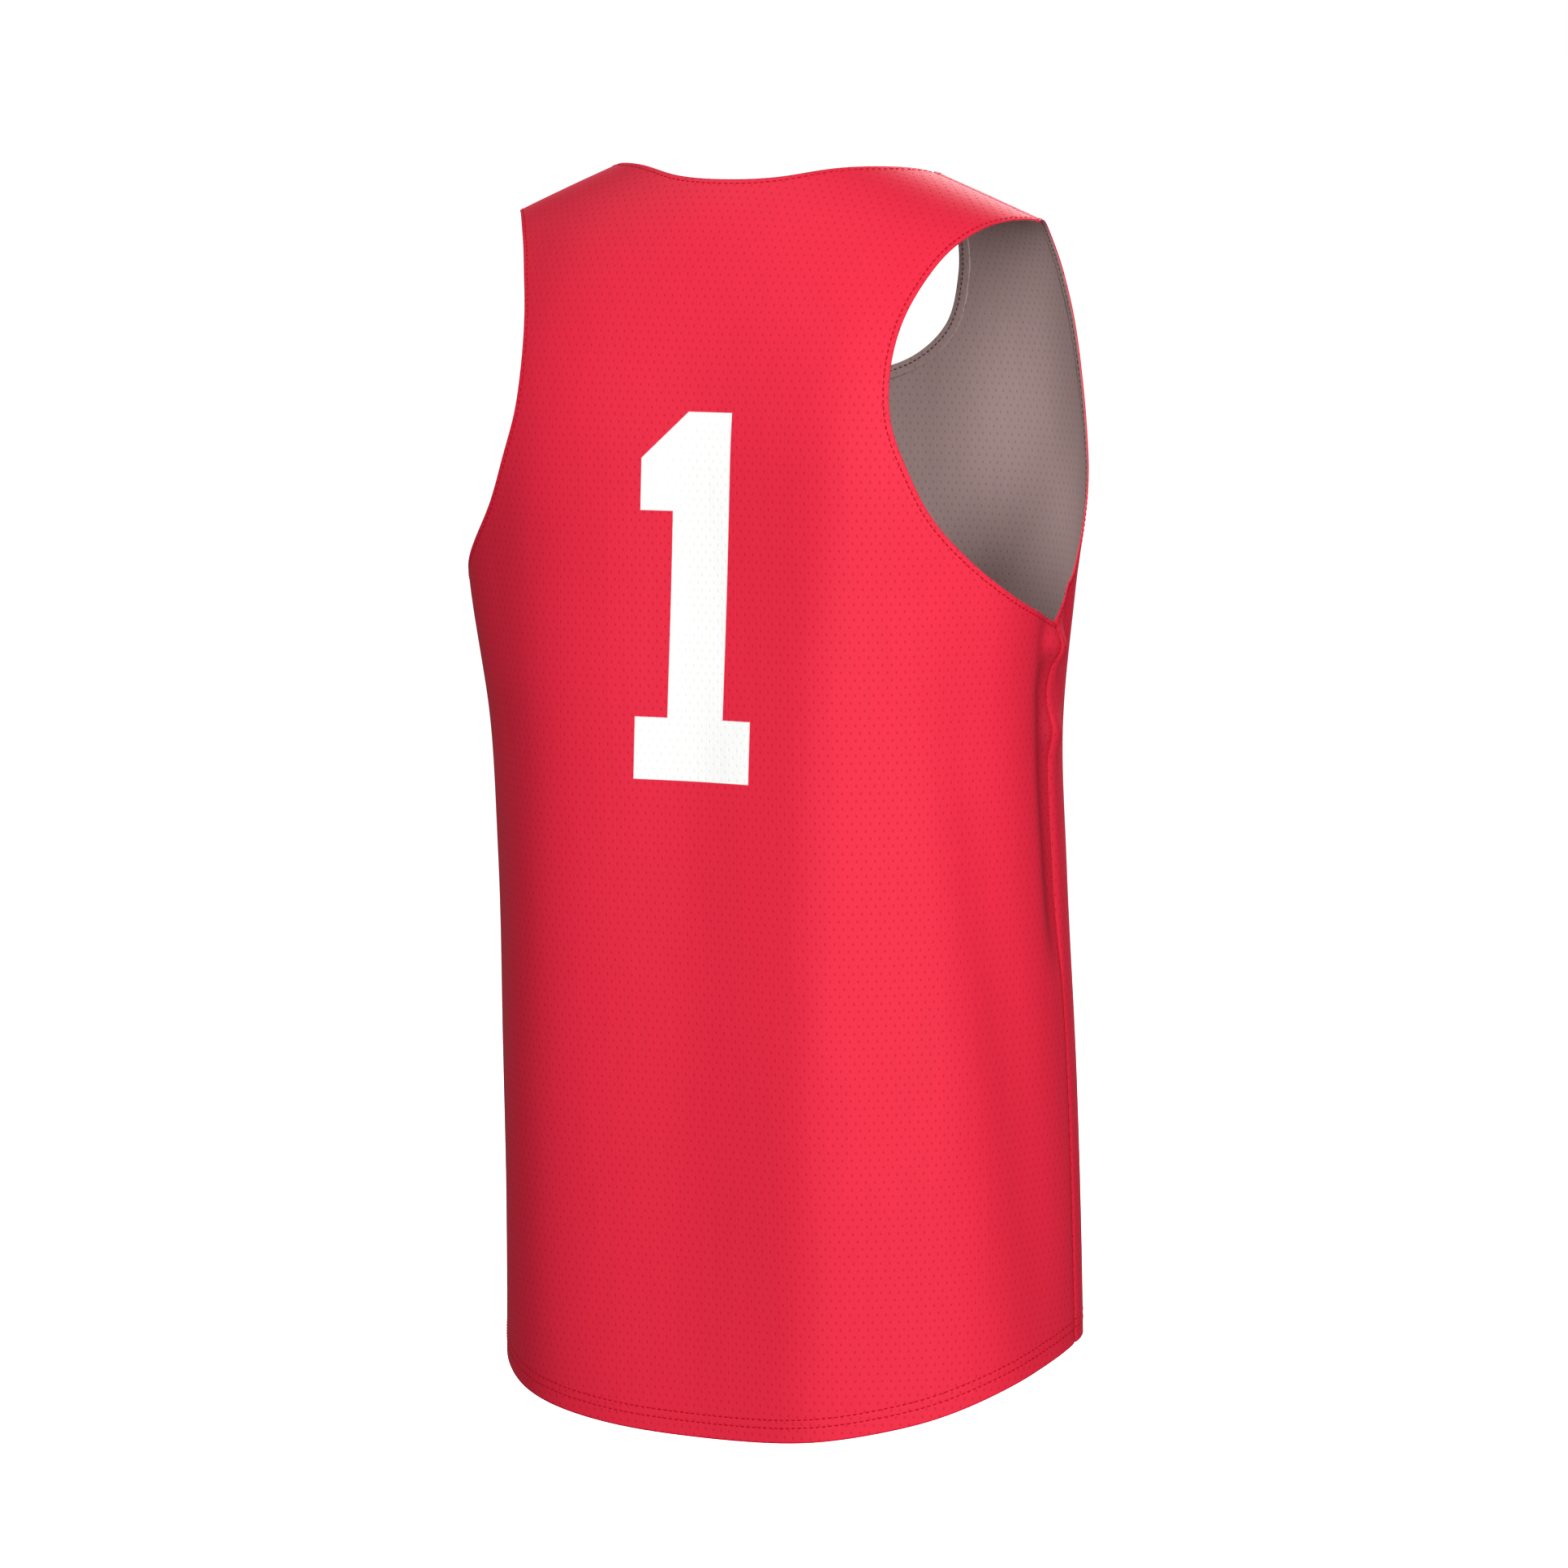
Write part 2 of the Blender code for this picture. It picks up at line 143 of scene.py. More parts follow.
# Faces along each stretch of a piece, and where its grid steps in
FINE = 5
SIDE_FACES = 23 * FINE
SHOULDER_FACES = 6 * FINE
Layout = namedtuple("Layout", "under chest strap neck under_end strap_start neck_split")
LAYOUT = {
    BACK: Layout(6, 9, 6, 10, under_end=0.36, strap_start=0.80, neck_split=0.50),
    FRONT: Layout(6, 6, 9, 12, under_end=0.26, strap_start=0.56, neck_split=0.44),
}
SETTLING = 900  # rounds in which inner points move to the middle of their neighbours
EDGE_SPLITS = (0.2, 0.55)  # extra lines next to an edge, in faces
CURVE_STEPS = 64
LINE_STEPS = 1600  # of a smooth line through marks
NEAR_STEPS = 500  # of a line that distances are measured to
POINT_PARTS = 60  # points are taken in so many parts, to use less memory
YOKE_REACH = 0.22  # further out than any shoulder seam
NORMAL_STEP = 0.0004  # across and up the cloth, for the normal there

# Steps along the lines that turned edges and seams follow
NECK_STEPS, ARMHOLE_STEPS, HEM_STEPS = 300, 260, 420
SIDE_STEPS, SHOULDER_STEPS = 400, 90
SEAM_DEPTH = 0.9 * MM  # how far the cloth is drawn in at its seams
SEAM_HALF_WIDTH = 1.6 * MM
GROOVE_ENDS = (0.6, 1.2)  # past the neck and the shoulder tip, as shares of where they are


def smooth_value(knots, values, at, level_end=False):
    """Cubic through the rows of a table, its slope at each row taken from both neighbours."""
    knots = np.asarray(knots, float)
    values = np.asarray(values, float)
    step = np.diff(knots)
    rise = np.diff(values) / step
    slope = np.empty_like(values)
    slope[1:-1] = (rise[:-1] * step[1:] + rise[1:] * step[:-1]) / (step[:-1] + step[1:])
    slope[0] = rise[0]
    slope[-1] = 0.0 if level_end else rise[-1]
    at = np.clip(at, knots[0], knots[-1])
    row = np.clip(np.searchsorted(knots, at, side="right") - 1, 0, len(step) - 1)
    h = step[row]
    t = (at - knots[row]) / h
    ends = (1 + 2 * t) * (1 - t) ** 2 * values[row] + t * t * (3 - 2 * t) * values[row + 1]
    lean = t * (1 - t) ** 2 * slope[row] - t * t * (1 - t) * slope[row + 1]
    return ends + h * lean


def at_length(curve, top, distance):
    """The parameter at which each curve has run its distance, and each curve's length."""
    steps = np.linspace(0.0, top, CURVE_STEPS + 1)[:, None]
    x, y = curve(steps)
    runs = np.cumsum(np.hypot(np.diff(x, axis=0), np.diff(y, axis=0)), axis=0)
    runs = np.vstack([np.zeros((1, x.shape[1])), runs])
    row = np.clip((runs < distance).sum(axis=0), 1, CURVE_STEPS)
    column = np.arange(x.shape[1])
    before = runs[row - 1, column]
    share = (distance - before) / (runs[row, column] - before)
    return (row - 1 + share) * top / CURVE_STEPS, runs[-1]


def ring_curve(up, side):
    """A quarter of the superellipse ring at each height: (x / width)^n + (y / depth)^n = 1."""
    piece = NAMES[side]
    heights = [ring.up for ring in RINGS]

    def column(name):
        rows = [getattr(ring, name) for ring in RINGS]
        return smooth_value(heights, rows, up, level_end=True)

    half_width, centre_y = column("half_width"), column("centre_y")
    depth, square = column(piece + "_depth"), column(piece + "_square")

    def curve(angle):
        across = np.abs(np.sin(angle)) / half_width
        through = np.abs(np.cos(angle)) / depth
        radius = (across**square + through**square) ** (-1.0 / square)
        return radius * np.sin(angle), radius * np.cos(angle)

    return curve, centre_y


def side_width(up, side):
    """Cloth width from the centre line to the side seam at each height."""
    up = np.minimum(np.atleast_1d(up), YOKE)
    curve, _ = ring_curve(up, side)
    return at_length(curve, np.pi / 2, np.zeros_like(up))[1]


def arch_curve(x, y):
    """The arch from the yoke ring at (x, y) up to the shoulder seam, a quarter ellipse."""
    run = np.hypot(x, CROWN) - np.hypot(NECK_HALF, CROWN)
    seam_y = SHOULDER_Y - SHOULDER_LEAN * run
    rise = -SHOULDER_SLOPE * run - YOKE

    def curve(angle):
        return seam_y + (y - seam_y) * np.cos(angle), rise * np.sin(angle)

    return curve


def filled_out(out, up, side):
    """Places on the filled-out jersey of flat points, without the folds."""
    ring_up = np.minimum(up, YOKE)
    ring, centre_y = ring_curve(ring_up, side)
    angle, _ = at_length(ring, np.pi / 2, np.abs(out))
    x, depth = ring(angle)
    x = x * np.sign(out)
    y = centre_y + side * depth
    arch = arch_curve(x, y)
    angle, _ = at_length(arch, np.pi / 2, np.maximum(up - YOKE, 0.0))
    arch_y, arch_z = arch(angle)
    arched = up > YOKE
    return np.stack(
        [x, np.where(arched, arch_y, y), np.where(arched, YOKE + arch_z, up)], axis=-1
    )


def turn_of(out, up, side):
    """How far round the jersey flat points lie, in quarters from the centre back."""
    share = out / side_width(up, side)
    if side == BACK:
        return share
    return np.where(share < 0, -1.0, 1.0) * (2.0 - np.abs(share))


def bell_across(fold, turn, up, wider=1.0):
    """1 along the middle of a fold: a bell across its line, fading at its head and foot."""
    round_by = (fold.foot_turn - fold.head_turn + 2.0) % 4.0 - 2.0
    run = np.array([round_by * QUARTER, fold.foot_up - fold.head_up])
    length = np.linalg.norm(run)
    aside = ((turn - fold.head_turn + 2.0) % 4.0 - 2.0) * QUARTER
    below = up - fold.head_up
    share = np.clip((aside * run[0] + below * run[1]) / length**2, 0.0, 1.0)
    away = (aside * run[1] - below * run[0]) / length
    fade = (1.0 - (2.0 * share - 1.0) ** 4) ** 2
    return fade * np.exp(-((away / (fold.half_width * wider)) ** 2))


def fold_height(turn, up):
    """Sum of the folds, each its height times its bell."""
    return sum(fold.height * bell_across(fold, turn, up) for fold in FOLDS)


def painted_crease_shade(turn, up):
    """Painted shade in narrow troughs: how deep in them the points are, as the part of each
    over CREASE steep.
    """
    total = np.zeros_like(up)
    for fold in FOLDS:
        steep = -fold.height / fold.half_width - CREASE
        if steep > 0:
            total += steep * bell_across(fold, turn, up, CREASE_WIDER)
    return total


def seam_groove(out, up, side):
    """How far the cloth is drawn in at its seams: a bell across each seam."""
    to_side = side_width(up, side) - np.abs(out)
    inner, outer = GROOVE_ENDS[0] * NECK_HALF, GROOVE_ENDS[1] * SHOULDER_TIP
    shoulder = crest(np.linspace(inner, outer, SHOULDER_STEPS), side)
    to_shoulder = np.interp(np.abs(out), shoulder[:, 0], shoulder[:, 1]) - up
    away = np.minimum(np.abs(to_side), np.abs(to_shoulder))
    return -SEAM_DEPTH * np.exp(-((away / SEAM_HALF_WIDTH) ** 2))


def worn(flat, side, lift=0.0):
    """Places of flat points on the folded jersey, raised by lift along the normal there.

    The normal comes from small steps across and up the cloth.
    """
    out, up = flat[:, 0], flat[:, 1]
    step = NORMAL_STEP
    base = filled_out(out, up, side)
    across = filled_out(out + step, up, side) - filled_out(out - step, up, side)
    along = filled_out(out, up + step, side) - filled_out(out, up - step, side)
    normal = side * np.cross(along, across)
    normal /= np.linalg.norm(normal, axis=-1, keepdims=True)
    height = fold_height(turn_of(out, up, side), up) + seam_groove(out, up, side) + lift
    return base + normal * height[:, None], normal


def crest(x, side):
    """Flat points of the shoulder seam at each distance x from the middle."""
    trial = np.linspace(0.0, YOKE_REACH, 441)
    ring, _ = ring_curve(np.full_like(trial, YOKE), side)
    angle, _ = at_length(ring, np.pi / 2, trial)
    out = np.interp(x, ring(angle)[0], trial)
    ring, centre_y = ring_curve(np.full_like(out, YOKE), side)
    angle, _ = at_length(ring, np.pi / 2, out)
    _, depth = ring(angle)
    arch = arch_curve(x, centre_y + side * depth)
    rise = at_length(arch, np.pi / 2, np.zeros_like(out))[1]
    return np.stack([out, YOKE + rise], axis=-1)


def run_along(line):
    """How far along a line each of its points is."""
    steps = np.linalg.norm(np.diff(line, axis=0), axis=1)
    return np.concatenate([[0.0], np.cumsum(steps)])


def through(marks):
    """A smooth line through the marks, by their chord lengths."""
    marks = np.asarray(marks, float)
    knots = run_along(marks)
    at = np.linspace(0.0, knots[-1], LINE_STEPS + 1)
    return np.stack([smooth_value(knots, marks[:, k], at) for k in (0, 1)], axis=-1)


def at_runs(at, runs, line):
    """The points of a line at some runs along it."""
    return np.stack([np.interp(at, runs, line[:, k]) for k in range(line.shape[1])], axis=-1)


def even(line, count, start=0.0, stop=1.0):
    """count equal steps along a line, between two shares of its length."""
    runs = run_along(line)
    return at_runs(np.linspace(start, stop, count + 1) * runs[-1], runs, line)


def between(bottom, top, left, right):
    """Fills four edges with a grid: the two ruled fills, less the one of the corners."""
    s = np.linspace(0.0, 1.0, len(bottom))[None, :, None]
    t = np.linspace(0.0, 1.0, len(left))[:, None, None]
    upward = (1 - t) * bottom[None] + t * top[None]
    across = (1 - s) * left[:, None] + s * right[:, None]
    foot = (1 - s) * bottom[0] + s * bottom[-1]
    head = (1 - s) * top[0] + s * top[-1]
    return upward + across - ((1 - t) * foot + t * head)


def mirrored(line):
    return line * np.array([-1.0, 1.0])


def both_halves(half):
    """A line from the centre out to the left, with its mirror image before it."""
    return np.concatenate([mirrored(half)[:0:-1], half])


def cut_lines(side):
    """The left half of a piece's outline: side seam, armhole, shoulder and neckline."""
    hem_rows, armhole_marks, neck_marks = CUT[side]
    seam_up = np.linspace(hem_rows[-1][1], UNDERARM, SIDE_FACES + 1)
    seam = np.stack([side_width(seam_up, side), seam_up], axis=-1)
    shoulder = crest(np.linspace(NECK_HALF, SHOULDER_TIP, SHOULDER_FACES + 1), side)
    armhole = through([seam[-1], *armhole_marks, shoulder[-1]])
    whole_neck = through(both_halves(np.array([*neck_marks, shoulder[0]])))
    neckline = whole_neck[len(whole_neck) // 2 :]
    return seam, armhole, shoulder, neckline


def hem_line(side, width, count):
    """The hem from the right side seam to the left one."""
    shares, heights = both_halves(np.array(CUT[side][0])).T
    share = np.linspace(-1.0, 1.0, count + 1)
    return np.stack([share * width, smooth_value(shares, heights, share)], axis=-1)


def with_edge_lines(count, edges):
    """Line numbers 0 to count, with extra ones next to each edge line."""
    lines = set(np.arange(count + 1, dtype=float))
    for edge in edges:
        for split in EDGE_SPLITS:
            lines |= {edge - split, edge + split}
    return np.array(sorted(line for line in lines if 0 <= line <= count))


def flat_grid(side):
    """The piece as a grid of flat points, and which of its cells are cloth.

    The first stretch of rows runs from the hem to the underarms, the second between the
    armholes to the neckline, and the third is the two straps. Inner points settle to the
    middle of their neighbours. Then lines are added next to the edges.
    """
    layout = LAYOUT[side]
    seam, armhole, shoulder, neckline = cut_lines(side)
    under_count, chest_count = layout.under * FINE, layout.chest * FINE
    strap_count, neck_count = layout.strap * FINE, layout.neck * FINE // 2
    under = even(armhole, under_count, 0.0, layout.under_end)
    chest_edge = even(armhole, chest_count, layout.under_end, layout.strap_start)
    strap_edge = even(armhole, strap_count, layout.strap_start, 1.0)
    low_neck = even(neckline, neck_count, 0.0, layout.neck_split)
    strap_neck = even(neckline, strap_count, layout.neck_split, 1.0)
    level = np.stack([under[-1] * np.array([0.0, 1.0]), under[-1]])
    level = even(level, SHOULDER_FACES + neck_count)
    split = even(np.stack([low_neck[-1], chest_edge[-1]]), SHOULDER_FACES)

    body_top = both_halves(np.concatenate([level, under[-2::-1]]))
    chest_top = both_halves(np.concatenate([low_neck, split[1:]]))
    hem = hem_line(side, seam[0, 0], len(body_top) - 1)
    body = between(hem, body_top, mirrored(seam), seam)
    chest = between(both_halves(level), chest_top, mirrored(chest_edge), chest_edge)
    strap = between(split, shoulder, strap_neck, strap_edge)

    rows = SIDE_FACES + chest_count + strap_count
    columns = len(hem) - 1
    grid = np.zeros((rows + 1, columns + 1, 2))
    cloth = np.zeros((rows, columns), bool)
    stretches = (
        (strap, rows - strap_count, columns - under_count - SHOULDER_FACES),
        (mirrored(strap[:, ::-1]), rows - strap_count, under_count),
        (chest, SIDE_FACES, under_count),
        (body, 0, 0),
    )
    for points, row, column in stretches:
        high, wide, _ = points.shape
        grid[row : row + high, column : column + wide] = points
        cloth[row : row + high - 1, column : column + wide - 1] = True
    inside = cloth[:-1, :-1] & cloth[:-1, 1:] & cloth[1:, :-1] & cloth[1:, 1:]
    for _ in range(SETTLING):
        around = grid[:-2, 1:-1] + grid[2:, 1:-1] + grid[1:-1, :-2] + grid[1:-1, 2:]
        grid[1:-1, 1:-1][inside] = around[inside] / 4.0

    strap_in = under_count + SHOULDER_FACES
    row_at = with_edge_lines(rows, (0, SIDE_FACES, rows - strap_count, rows))
    column_at = with_edge_lines(
        columns,
        (0, under_count, strap_in, columns - strap_in, columns - under_count, columns),
    )
    row = np.minimum(row_at.astype(int), rows - 1)
    column = np.minimum(column_at.astype(int), columns - 1)
    t = (row_at - row)[:, None, None]
    s = (column_at - column)[None, :, None]
    low = grid[row][:, column] * (1 - s) + grid[row][:, column + 1] * s
    high = grid[row + 1][:, column] * (1 - s) + grid[row + 1][:, column + 1] * s
    cells = cloth[row[:-1]][:, column[:-1]]
    return low * (1 - t) + high * t, cells


def grid_faces(cloth):
    """Quads of the cloth's cells, anticlockwise in (out, up), and the used points."""
    rows, columns = np.nonzero(cloth)
    wide = cloth.shape[1] + 1
    corner = rows * wide + columns
    quads = np.stack([corner, corner + 1, corner + wide + 1, corner + wide], axis=-1)
    used, numbered = np.unique(quads, return_inverse=True)
    return numbered.reshape(-1, 4), used


def distance_to(points, lines):
    """Least distance in the flat from each point to the points of some lines."""
    line = np.concatenate([even(line, NEAR_STEPS) for line in lines])
    least = np.empty(len(points))
    for part in np.array_split(np.arange(len(points)), POINT_PARTS):
        gap = points[part, None] - line[None]
        least[part] = np.sqrt((gap**2).sum(axis=-1).min(axis=1))
    return least


# ---- Meshes ----
def placed(name, data, matrix=None):
    """A new object in the scene, at the origin or turned and moved by a matrix."""
    thing = bpy.data.objects.new(name, data)
    if matrix is not None:
        thing.matrix_world = matrix
    bpy.context.scene.collection.objects.link(thing)
    return thing


def mesh_piece(name, points, faces, materials, face_materials=None):
    """A new object at the origin, its place in its mesh. faces is an array of corners."""
    mesh = bpy.data.meshes.new(name)
    faces = np.asarray(faces, np.int32)
    mesh.vertices.add(len(points))
    mesh.vertices.foreach_set("co", np.asarray(points, np.float32).ravel())
    mesh.loops.add(faces.size)
    mesh.loops.foreach_set("vertex_index", faces.ravel())
    mesh.polygons.add(len(faces))
    mesh.polygons.foreach_set("loop_start", np.arange(len(faces)) * faces.shape[1])
    for material in materials:
        mesh.materials.append(material)
    if face_materials is not None:
        mesh.polygons.foreach_set("material_index", np.asarray(face_materials, np.int32))
    mesh.update(calc_edges=True)
    mesh.validate()
    mesh.shade_smooth()
    return placed(name, mesh)


def add_uv(piece, at_points):
    """Gives each corner of a mesh the UV of its point."""
    mesh = piece.data
    corners = np.empty(len(mesh.loops), np.int32)
    mesh.loops.foreach_get("vertex_index", corners)
    layer = mesh.uv_layers.new(name="Cut")
    layer.data.foreach_set("uv", np.asarray(at_points, np.float32)[corners].ravel())


def add_values(piece, name, values):
    """Gives each point of a mesh one number, which a material can read."""
    attribute = piece.data.attributes.new(name, "FLOAT", "POINT")
    attribute.data.foreach_set("value", np.asarray(values, np.float32))


def tube_faces(rings, around):
    """Quads of rings of points, each ring closed on itself."""
    ring = np.arange(rings - 1)[:, None] * around
    at = np.arange(around)[None]
    after = (at + 1) % around
    quads = np.stack([ring + at, ring + after, ring + around + after, ring + around + at])
    return quads.reshape(4, -1).T


# ---- Materials ----
class Wire:
    """A number in a material. Sums and products on it add Math nodes."""

    def __init__(self, look, socket):
        self.look = look
        self.socket = socket

    def math(self, operation, *others):
        return self.look.node("ShaderNodeMath", {"operation": operation}, self, *others)

    def __add__(self, other):
        return self.math("ADD", other)

    def __sub__(self, other):
        return self.math("SUBTRACT", other)

    def __rsub__(self, other):
        return self.look.node("ShaderNodeMath", {"operation": "SUBTRACT"}, other, self)

    def __mul__(self, other):
        return self.math("MULTIPLY", other)

    def __truediv__(self, other):
        return self.math("DIVIDE", other)

    def ramp(self, start, stop, low=0.0, high=1.0):
        """Goes smoothly from low to high while the number goes from start to stop."""
        kind = {"interpolation_type": "SMOOTHSTEP"}
        return self.look.node("ShaderNodeMapRange", kind, self, start, stop, low, high)

    def bell(self, centre, half_width):
        """1 at the centre, and falling off on both sides: exp(-(distance / width)^2)."""
        share = (self - centre) / half_width
        return (share * share * -1.0).math("EXPONENT")

    def wave(self, pitch):
        """Goes from -1 to 1 and back once in each pitch."""
        return (self * (2.0 * math.pi / pitch)).math("SINE")


class Look:
    """A material in the making."""

    def __init__(self, name):
        self.material = bpy.data.materials.new(name)
        self.material.use_nodes = True
        self.tree = self.material.node_tree
        self.shader = self.tree.nodes["Principled BSDF"]

    def node(self, kind, settings, *values, output=0, **named):
        """Adds a node: its settings first, then its sockets in order or by name."""
        node = self.tree.nodes.new(kind)
        for key, value in settings.items():
            setattr(node, key, value)
        sockets = [s for s in node.inputs if s.enabled]
        pairs = list(zip(sockets, values, strict=False))
        pairs += [(node.inputs[key.replace("_", " ")], named[key]) for key in named]
        for socket, value in pairs:
            self.put(socket, value)
        return Wire(self, [s for s in node.outputs if s.enabled][output])

    def put(self, socket, value):
        if isinstance(value, Wire):
            self.tree.links.new(value.socket, socket)
        elif value is not None:
            socket.default_value = value

    def set(self, **values):
        """Sets sockets of the shader, with _ for a space in a name."""
        for key, value in values.items():
            self.put(self.shader.inputs[key.replace("_", " ")], value)

    def mix(self, share, colour, other):
        """A colour part of the way from one to another."""
        settings = {"data_type": "RGBA", "blend_type": "MIX"}
        return self.node("ShaderNodeMix", settings, share, colour, other)

    def scaled(self, colour, share):
        """A colour times a number."""
        return self.node("ShaderNodeVectorMath", {"operation": "SCALE"}, colour, Scale=share)

    def bump(self, height_mm):
        """A bump from a height in millimetres."""
        return self.node("ShaderNodeBump", {}, Strength=1.0, Distance=MM, Height=height_mm)

    def place(self):
        """The place in the object's own metres."""
        return self.node("ShaderNodeTexCoord", {}, output=3)

    def noise(self, place, **settings):
        return self.node("ShaderNodeTexNoise", {}, Vector=place, **settings)

    def cut(self):
        """The two parts of the UV map, as they are in the mesh."""
        cut = self.node("ShaderNodeUVMap", {"uv_map": "Cut"})
        return [self.node("ShaderNodeSeparateXYZ", {}, cut, output=k) for k in (0, 1)]

    def flat_point(self):
        """The flat point (out, up) of the cloth, in millimetres."""
        out, up = self.cut()
        return out * 1000.0, up * 1000.0

    def value(self, name):
        """A number that the mesh holds at each point."""
        return self.node("ShaderNodeAttribute", {"attribute_name": name}, output=2)


# The knit: short upright eyelets in staggered rows, and fine ribs, in millimetres
EYELET_PITCH = 5.1
ROW_PITCH = 4.3
EYELET_HALF = 0.36  # half the length of the line in the middle of an eyelet
EYELET_EDGE = (0.98, -0.1)  # distances from it where the eyelet begins and is full
RIB_PITCH = 1.02

# What the knit's colour takes from each of its parts, as shares of the colour; the seams'
# share is painted shade beside them
EYELET_SHARE, STREAK_SHARE, CLOUD_SHARE, RIB_SHARE, SEAM_SHARE = 0.8, 0.10, 0.06, 0.012, 0.20
SEAM_SHADE = 0.55  # half width of the shade beside a seam, in millimetres
STREAKS = (260.0, 260.0, 14.0)  # streaks of the dye for each metre: fine across, long upright
CLOUDS = 9.0

# Heights of the knit's parts, in millimetres, and the dents that rows of stitches press in it
RIB_HEIGHT, STREAK_HEIGHT, EYELET_DEPTH = 0.012, 0.10, 0.11
DENT_DEPTH, DENT_HALF = 0.06, 0.7
STITCH_INSET = 2.9  # of the one row at the neck and armholes
HEM_ROWS = (8.8, 13.5)

# Roughness of the knit, and what its eyelets and its wrong side add to it
ROUGHNESS, ROUGHER_EYELET, ROUGHER_INSIDE = 0.64, 0.1, 0.1
SPECULAR = 0.24

# The numeral, in millimetres on the flat back: a stem with a flag and a foot
STEM = (-24.7, 10.6)
FOOT = (-42.6, 30.6)
FLAG_OUT = 30.4
FLAG_FOOT = -189.7
FOOT_TOP = -307.8
NUMERAL_TOP = -132.9
NUMERAL_FOOT = -343.6
LEAN = 0.0326  # how far the upright edges lean out for each millimetre down
CHAMFER = (2.6, -0.975)  # where the slanted corner starts, and its slope
PRINT_EDGE = 0.3


def eyelets(out, up):
    """1 in the eyelets: the distance from a short upright line in each staggered cell."""
    row = up / ROW_PITCH
    shift = row.math("FLOOR").math("FLOORED_MODULO", 2.0) * 0.5
    across = ((out / EYELET_PITCH + shift).math("FRACT") - 0.5) * EYELET_PITCH
    along = ((row.math("FRACT") - 0.5) * ROW_PITCH).math("ABSOLUTE") - EYELET_HALF
    along = along.math("MAXIMUM", 0.0)
    away = (across * across + along * along).math("SQRT")
    return away.ramp(*EYELET_EDGE)


def numeral(out, up):
    """1 inside the numeral: three leaning boxes joined, with one slanted corner cut away."""
    out = out + (up - NUMERAL_TOP) * LEAN

    def box(low_out, high_out, low_up, high_up):
        sides = (out - (low_out + high_out) / 2).math("ABSOLUTE") - (high_out - low_out) / 2
        ends = (up - (low_up + high_up) / 2).math("ABSOLUTE") - (high_up - low_up) / 2
        return sides.math("MAXIMUM", ends)

    stem = box(*STEM, NUMERAL_FOOT, NUMERAL_TOP)
    flag = box(STEM[0], FLAG_OUT, FLAG_FOOT, NUMERAL_TOP)
    foot = box(*FOOT, NUMERAL_FOOT, FOOT_TOP)
    whole = stem.math("MINIMUM", flag).math("MINIMUM", foot)
    start, slope = CHAMFER
    above = up - NUMERAL_TOP - (out - start) * slope
    whole = whole.math("MAXIMUM", above / math.hypot(1.0, slope))
    return whole.ramp(PRINT_EDGE, -PRINT_EDGE)


def knit_look(name, colour, eyelet_colour, printed, rougher):
    """Mesh knit: its colour, eyelets darkened partly by painted shade, ribs, soft unevenness
    of the dye, and painted shade beside the seams and in narrow troughs.

    printed is the colours of the numeral and of its eyelets, or nothing.
    """
    look = Look(name)
    out, up = look.flat_point()
    hole = eyelets(out, up)
    place = look.place()
    stretched = look.node("ShaderNodeMapping", {}, place, None, None, STREAKS)
    streaks = look.noise(stretched, Scale=1.0, Detail=3.0, Roughness=0.6) - 0.5
    clouds = look.noise(place, Scale=CLOUDS, Detail=3.0, Roughness=0.5) - 0.5
    rib = out.wave(RIB_PITCH)
    seam = look.value("from_seam").bell(0.0, SEAM_SHADE)
    tone_and_shade = streaks * STREAK_SHARE + clouds * CLOUD_SHARE + rib * RIB_SHARE + 1.0
    # painted shade: darker beside the seams and in the depth of narrow troughs
    tone_and_shade = (tone_and_shade - seam * SEAM_SHARE) * (1.0 - look.value("crease"))
    # the eyelets darkened: partly the cloth seen through them, partly painted shade in the
    # holes
    plain = look.mix(hole * EYELET_SHARE, (*colour, 1.0), (*eyelet_colour, 1.0))
    if printed is not None:
        ink, ink_eyelet = printed
        mark = look.mix(hole * EYELET_SHARE, (*ink, 1.0), (*ink_eyelet, 1.0))
        plain = look.mix(numeral(out, up), plain, mark)
    dent = look.value("from_opening").bell(STITCH_INSET, DENT_HALF) * DENT_DEPTH
    for inset in HEM_ROWS:
        dent = dent + look.value("from_hem").bell(inset, DENT_HALF) * DENT_DEPTH
    height = rib * RIB_HEIGHT + streaks * STREAK_HEIGHT - hole * EYELET_DEPTH - dent
    look.set(
        Base_Color=look.scaled(plain, tone_and_shade),
        Roughness=hole * ROUGHER_EYELET + (ROUGHNESS + rougher),
        Normal=look.bump(height),
        Sheen_Weight=0.02,
        Sheen_Roughness=0.45,
        Specular_IOR_Level=SPECULAR,
    )
    return look.material


PLY_TURNS = 2.0  # turns of the thread's plies in half a stitch
PLY_SHADE = (0.88, 1.0)
PLY_HEIGHT = 0.004  # in millimetres


def thread_look(name, colour):
    """Sewing thread: a twist of two plies, worked out along and round each stitch."""
    look = Look(name)
    along, around = look.cut()
    twist = (along * PLY_TURNS + around).wave(1.0)
    look.set(
        Base_Color=look.scaled(colour, twist.ramp(-1.0, 1.0, *PLY_SHADE)),
        Roughness=0.6,
        Normal=look.bump(twist * PLY_HEIGHT),
        Specular_IOR_Level=0.12,
    )
    return look.material


PULL_PITCH = 2.6  # of the stitches that pull the seam, in millimetres
PULL_SHARE, PULL_HEIGHT = 0.05, 0.06
FUZZ_SHARE, FUZZ_HEIGHT = 0.3, 0.05


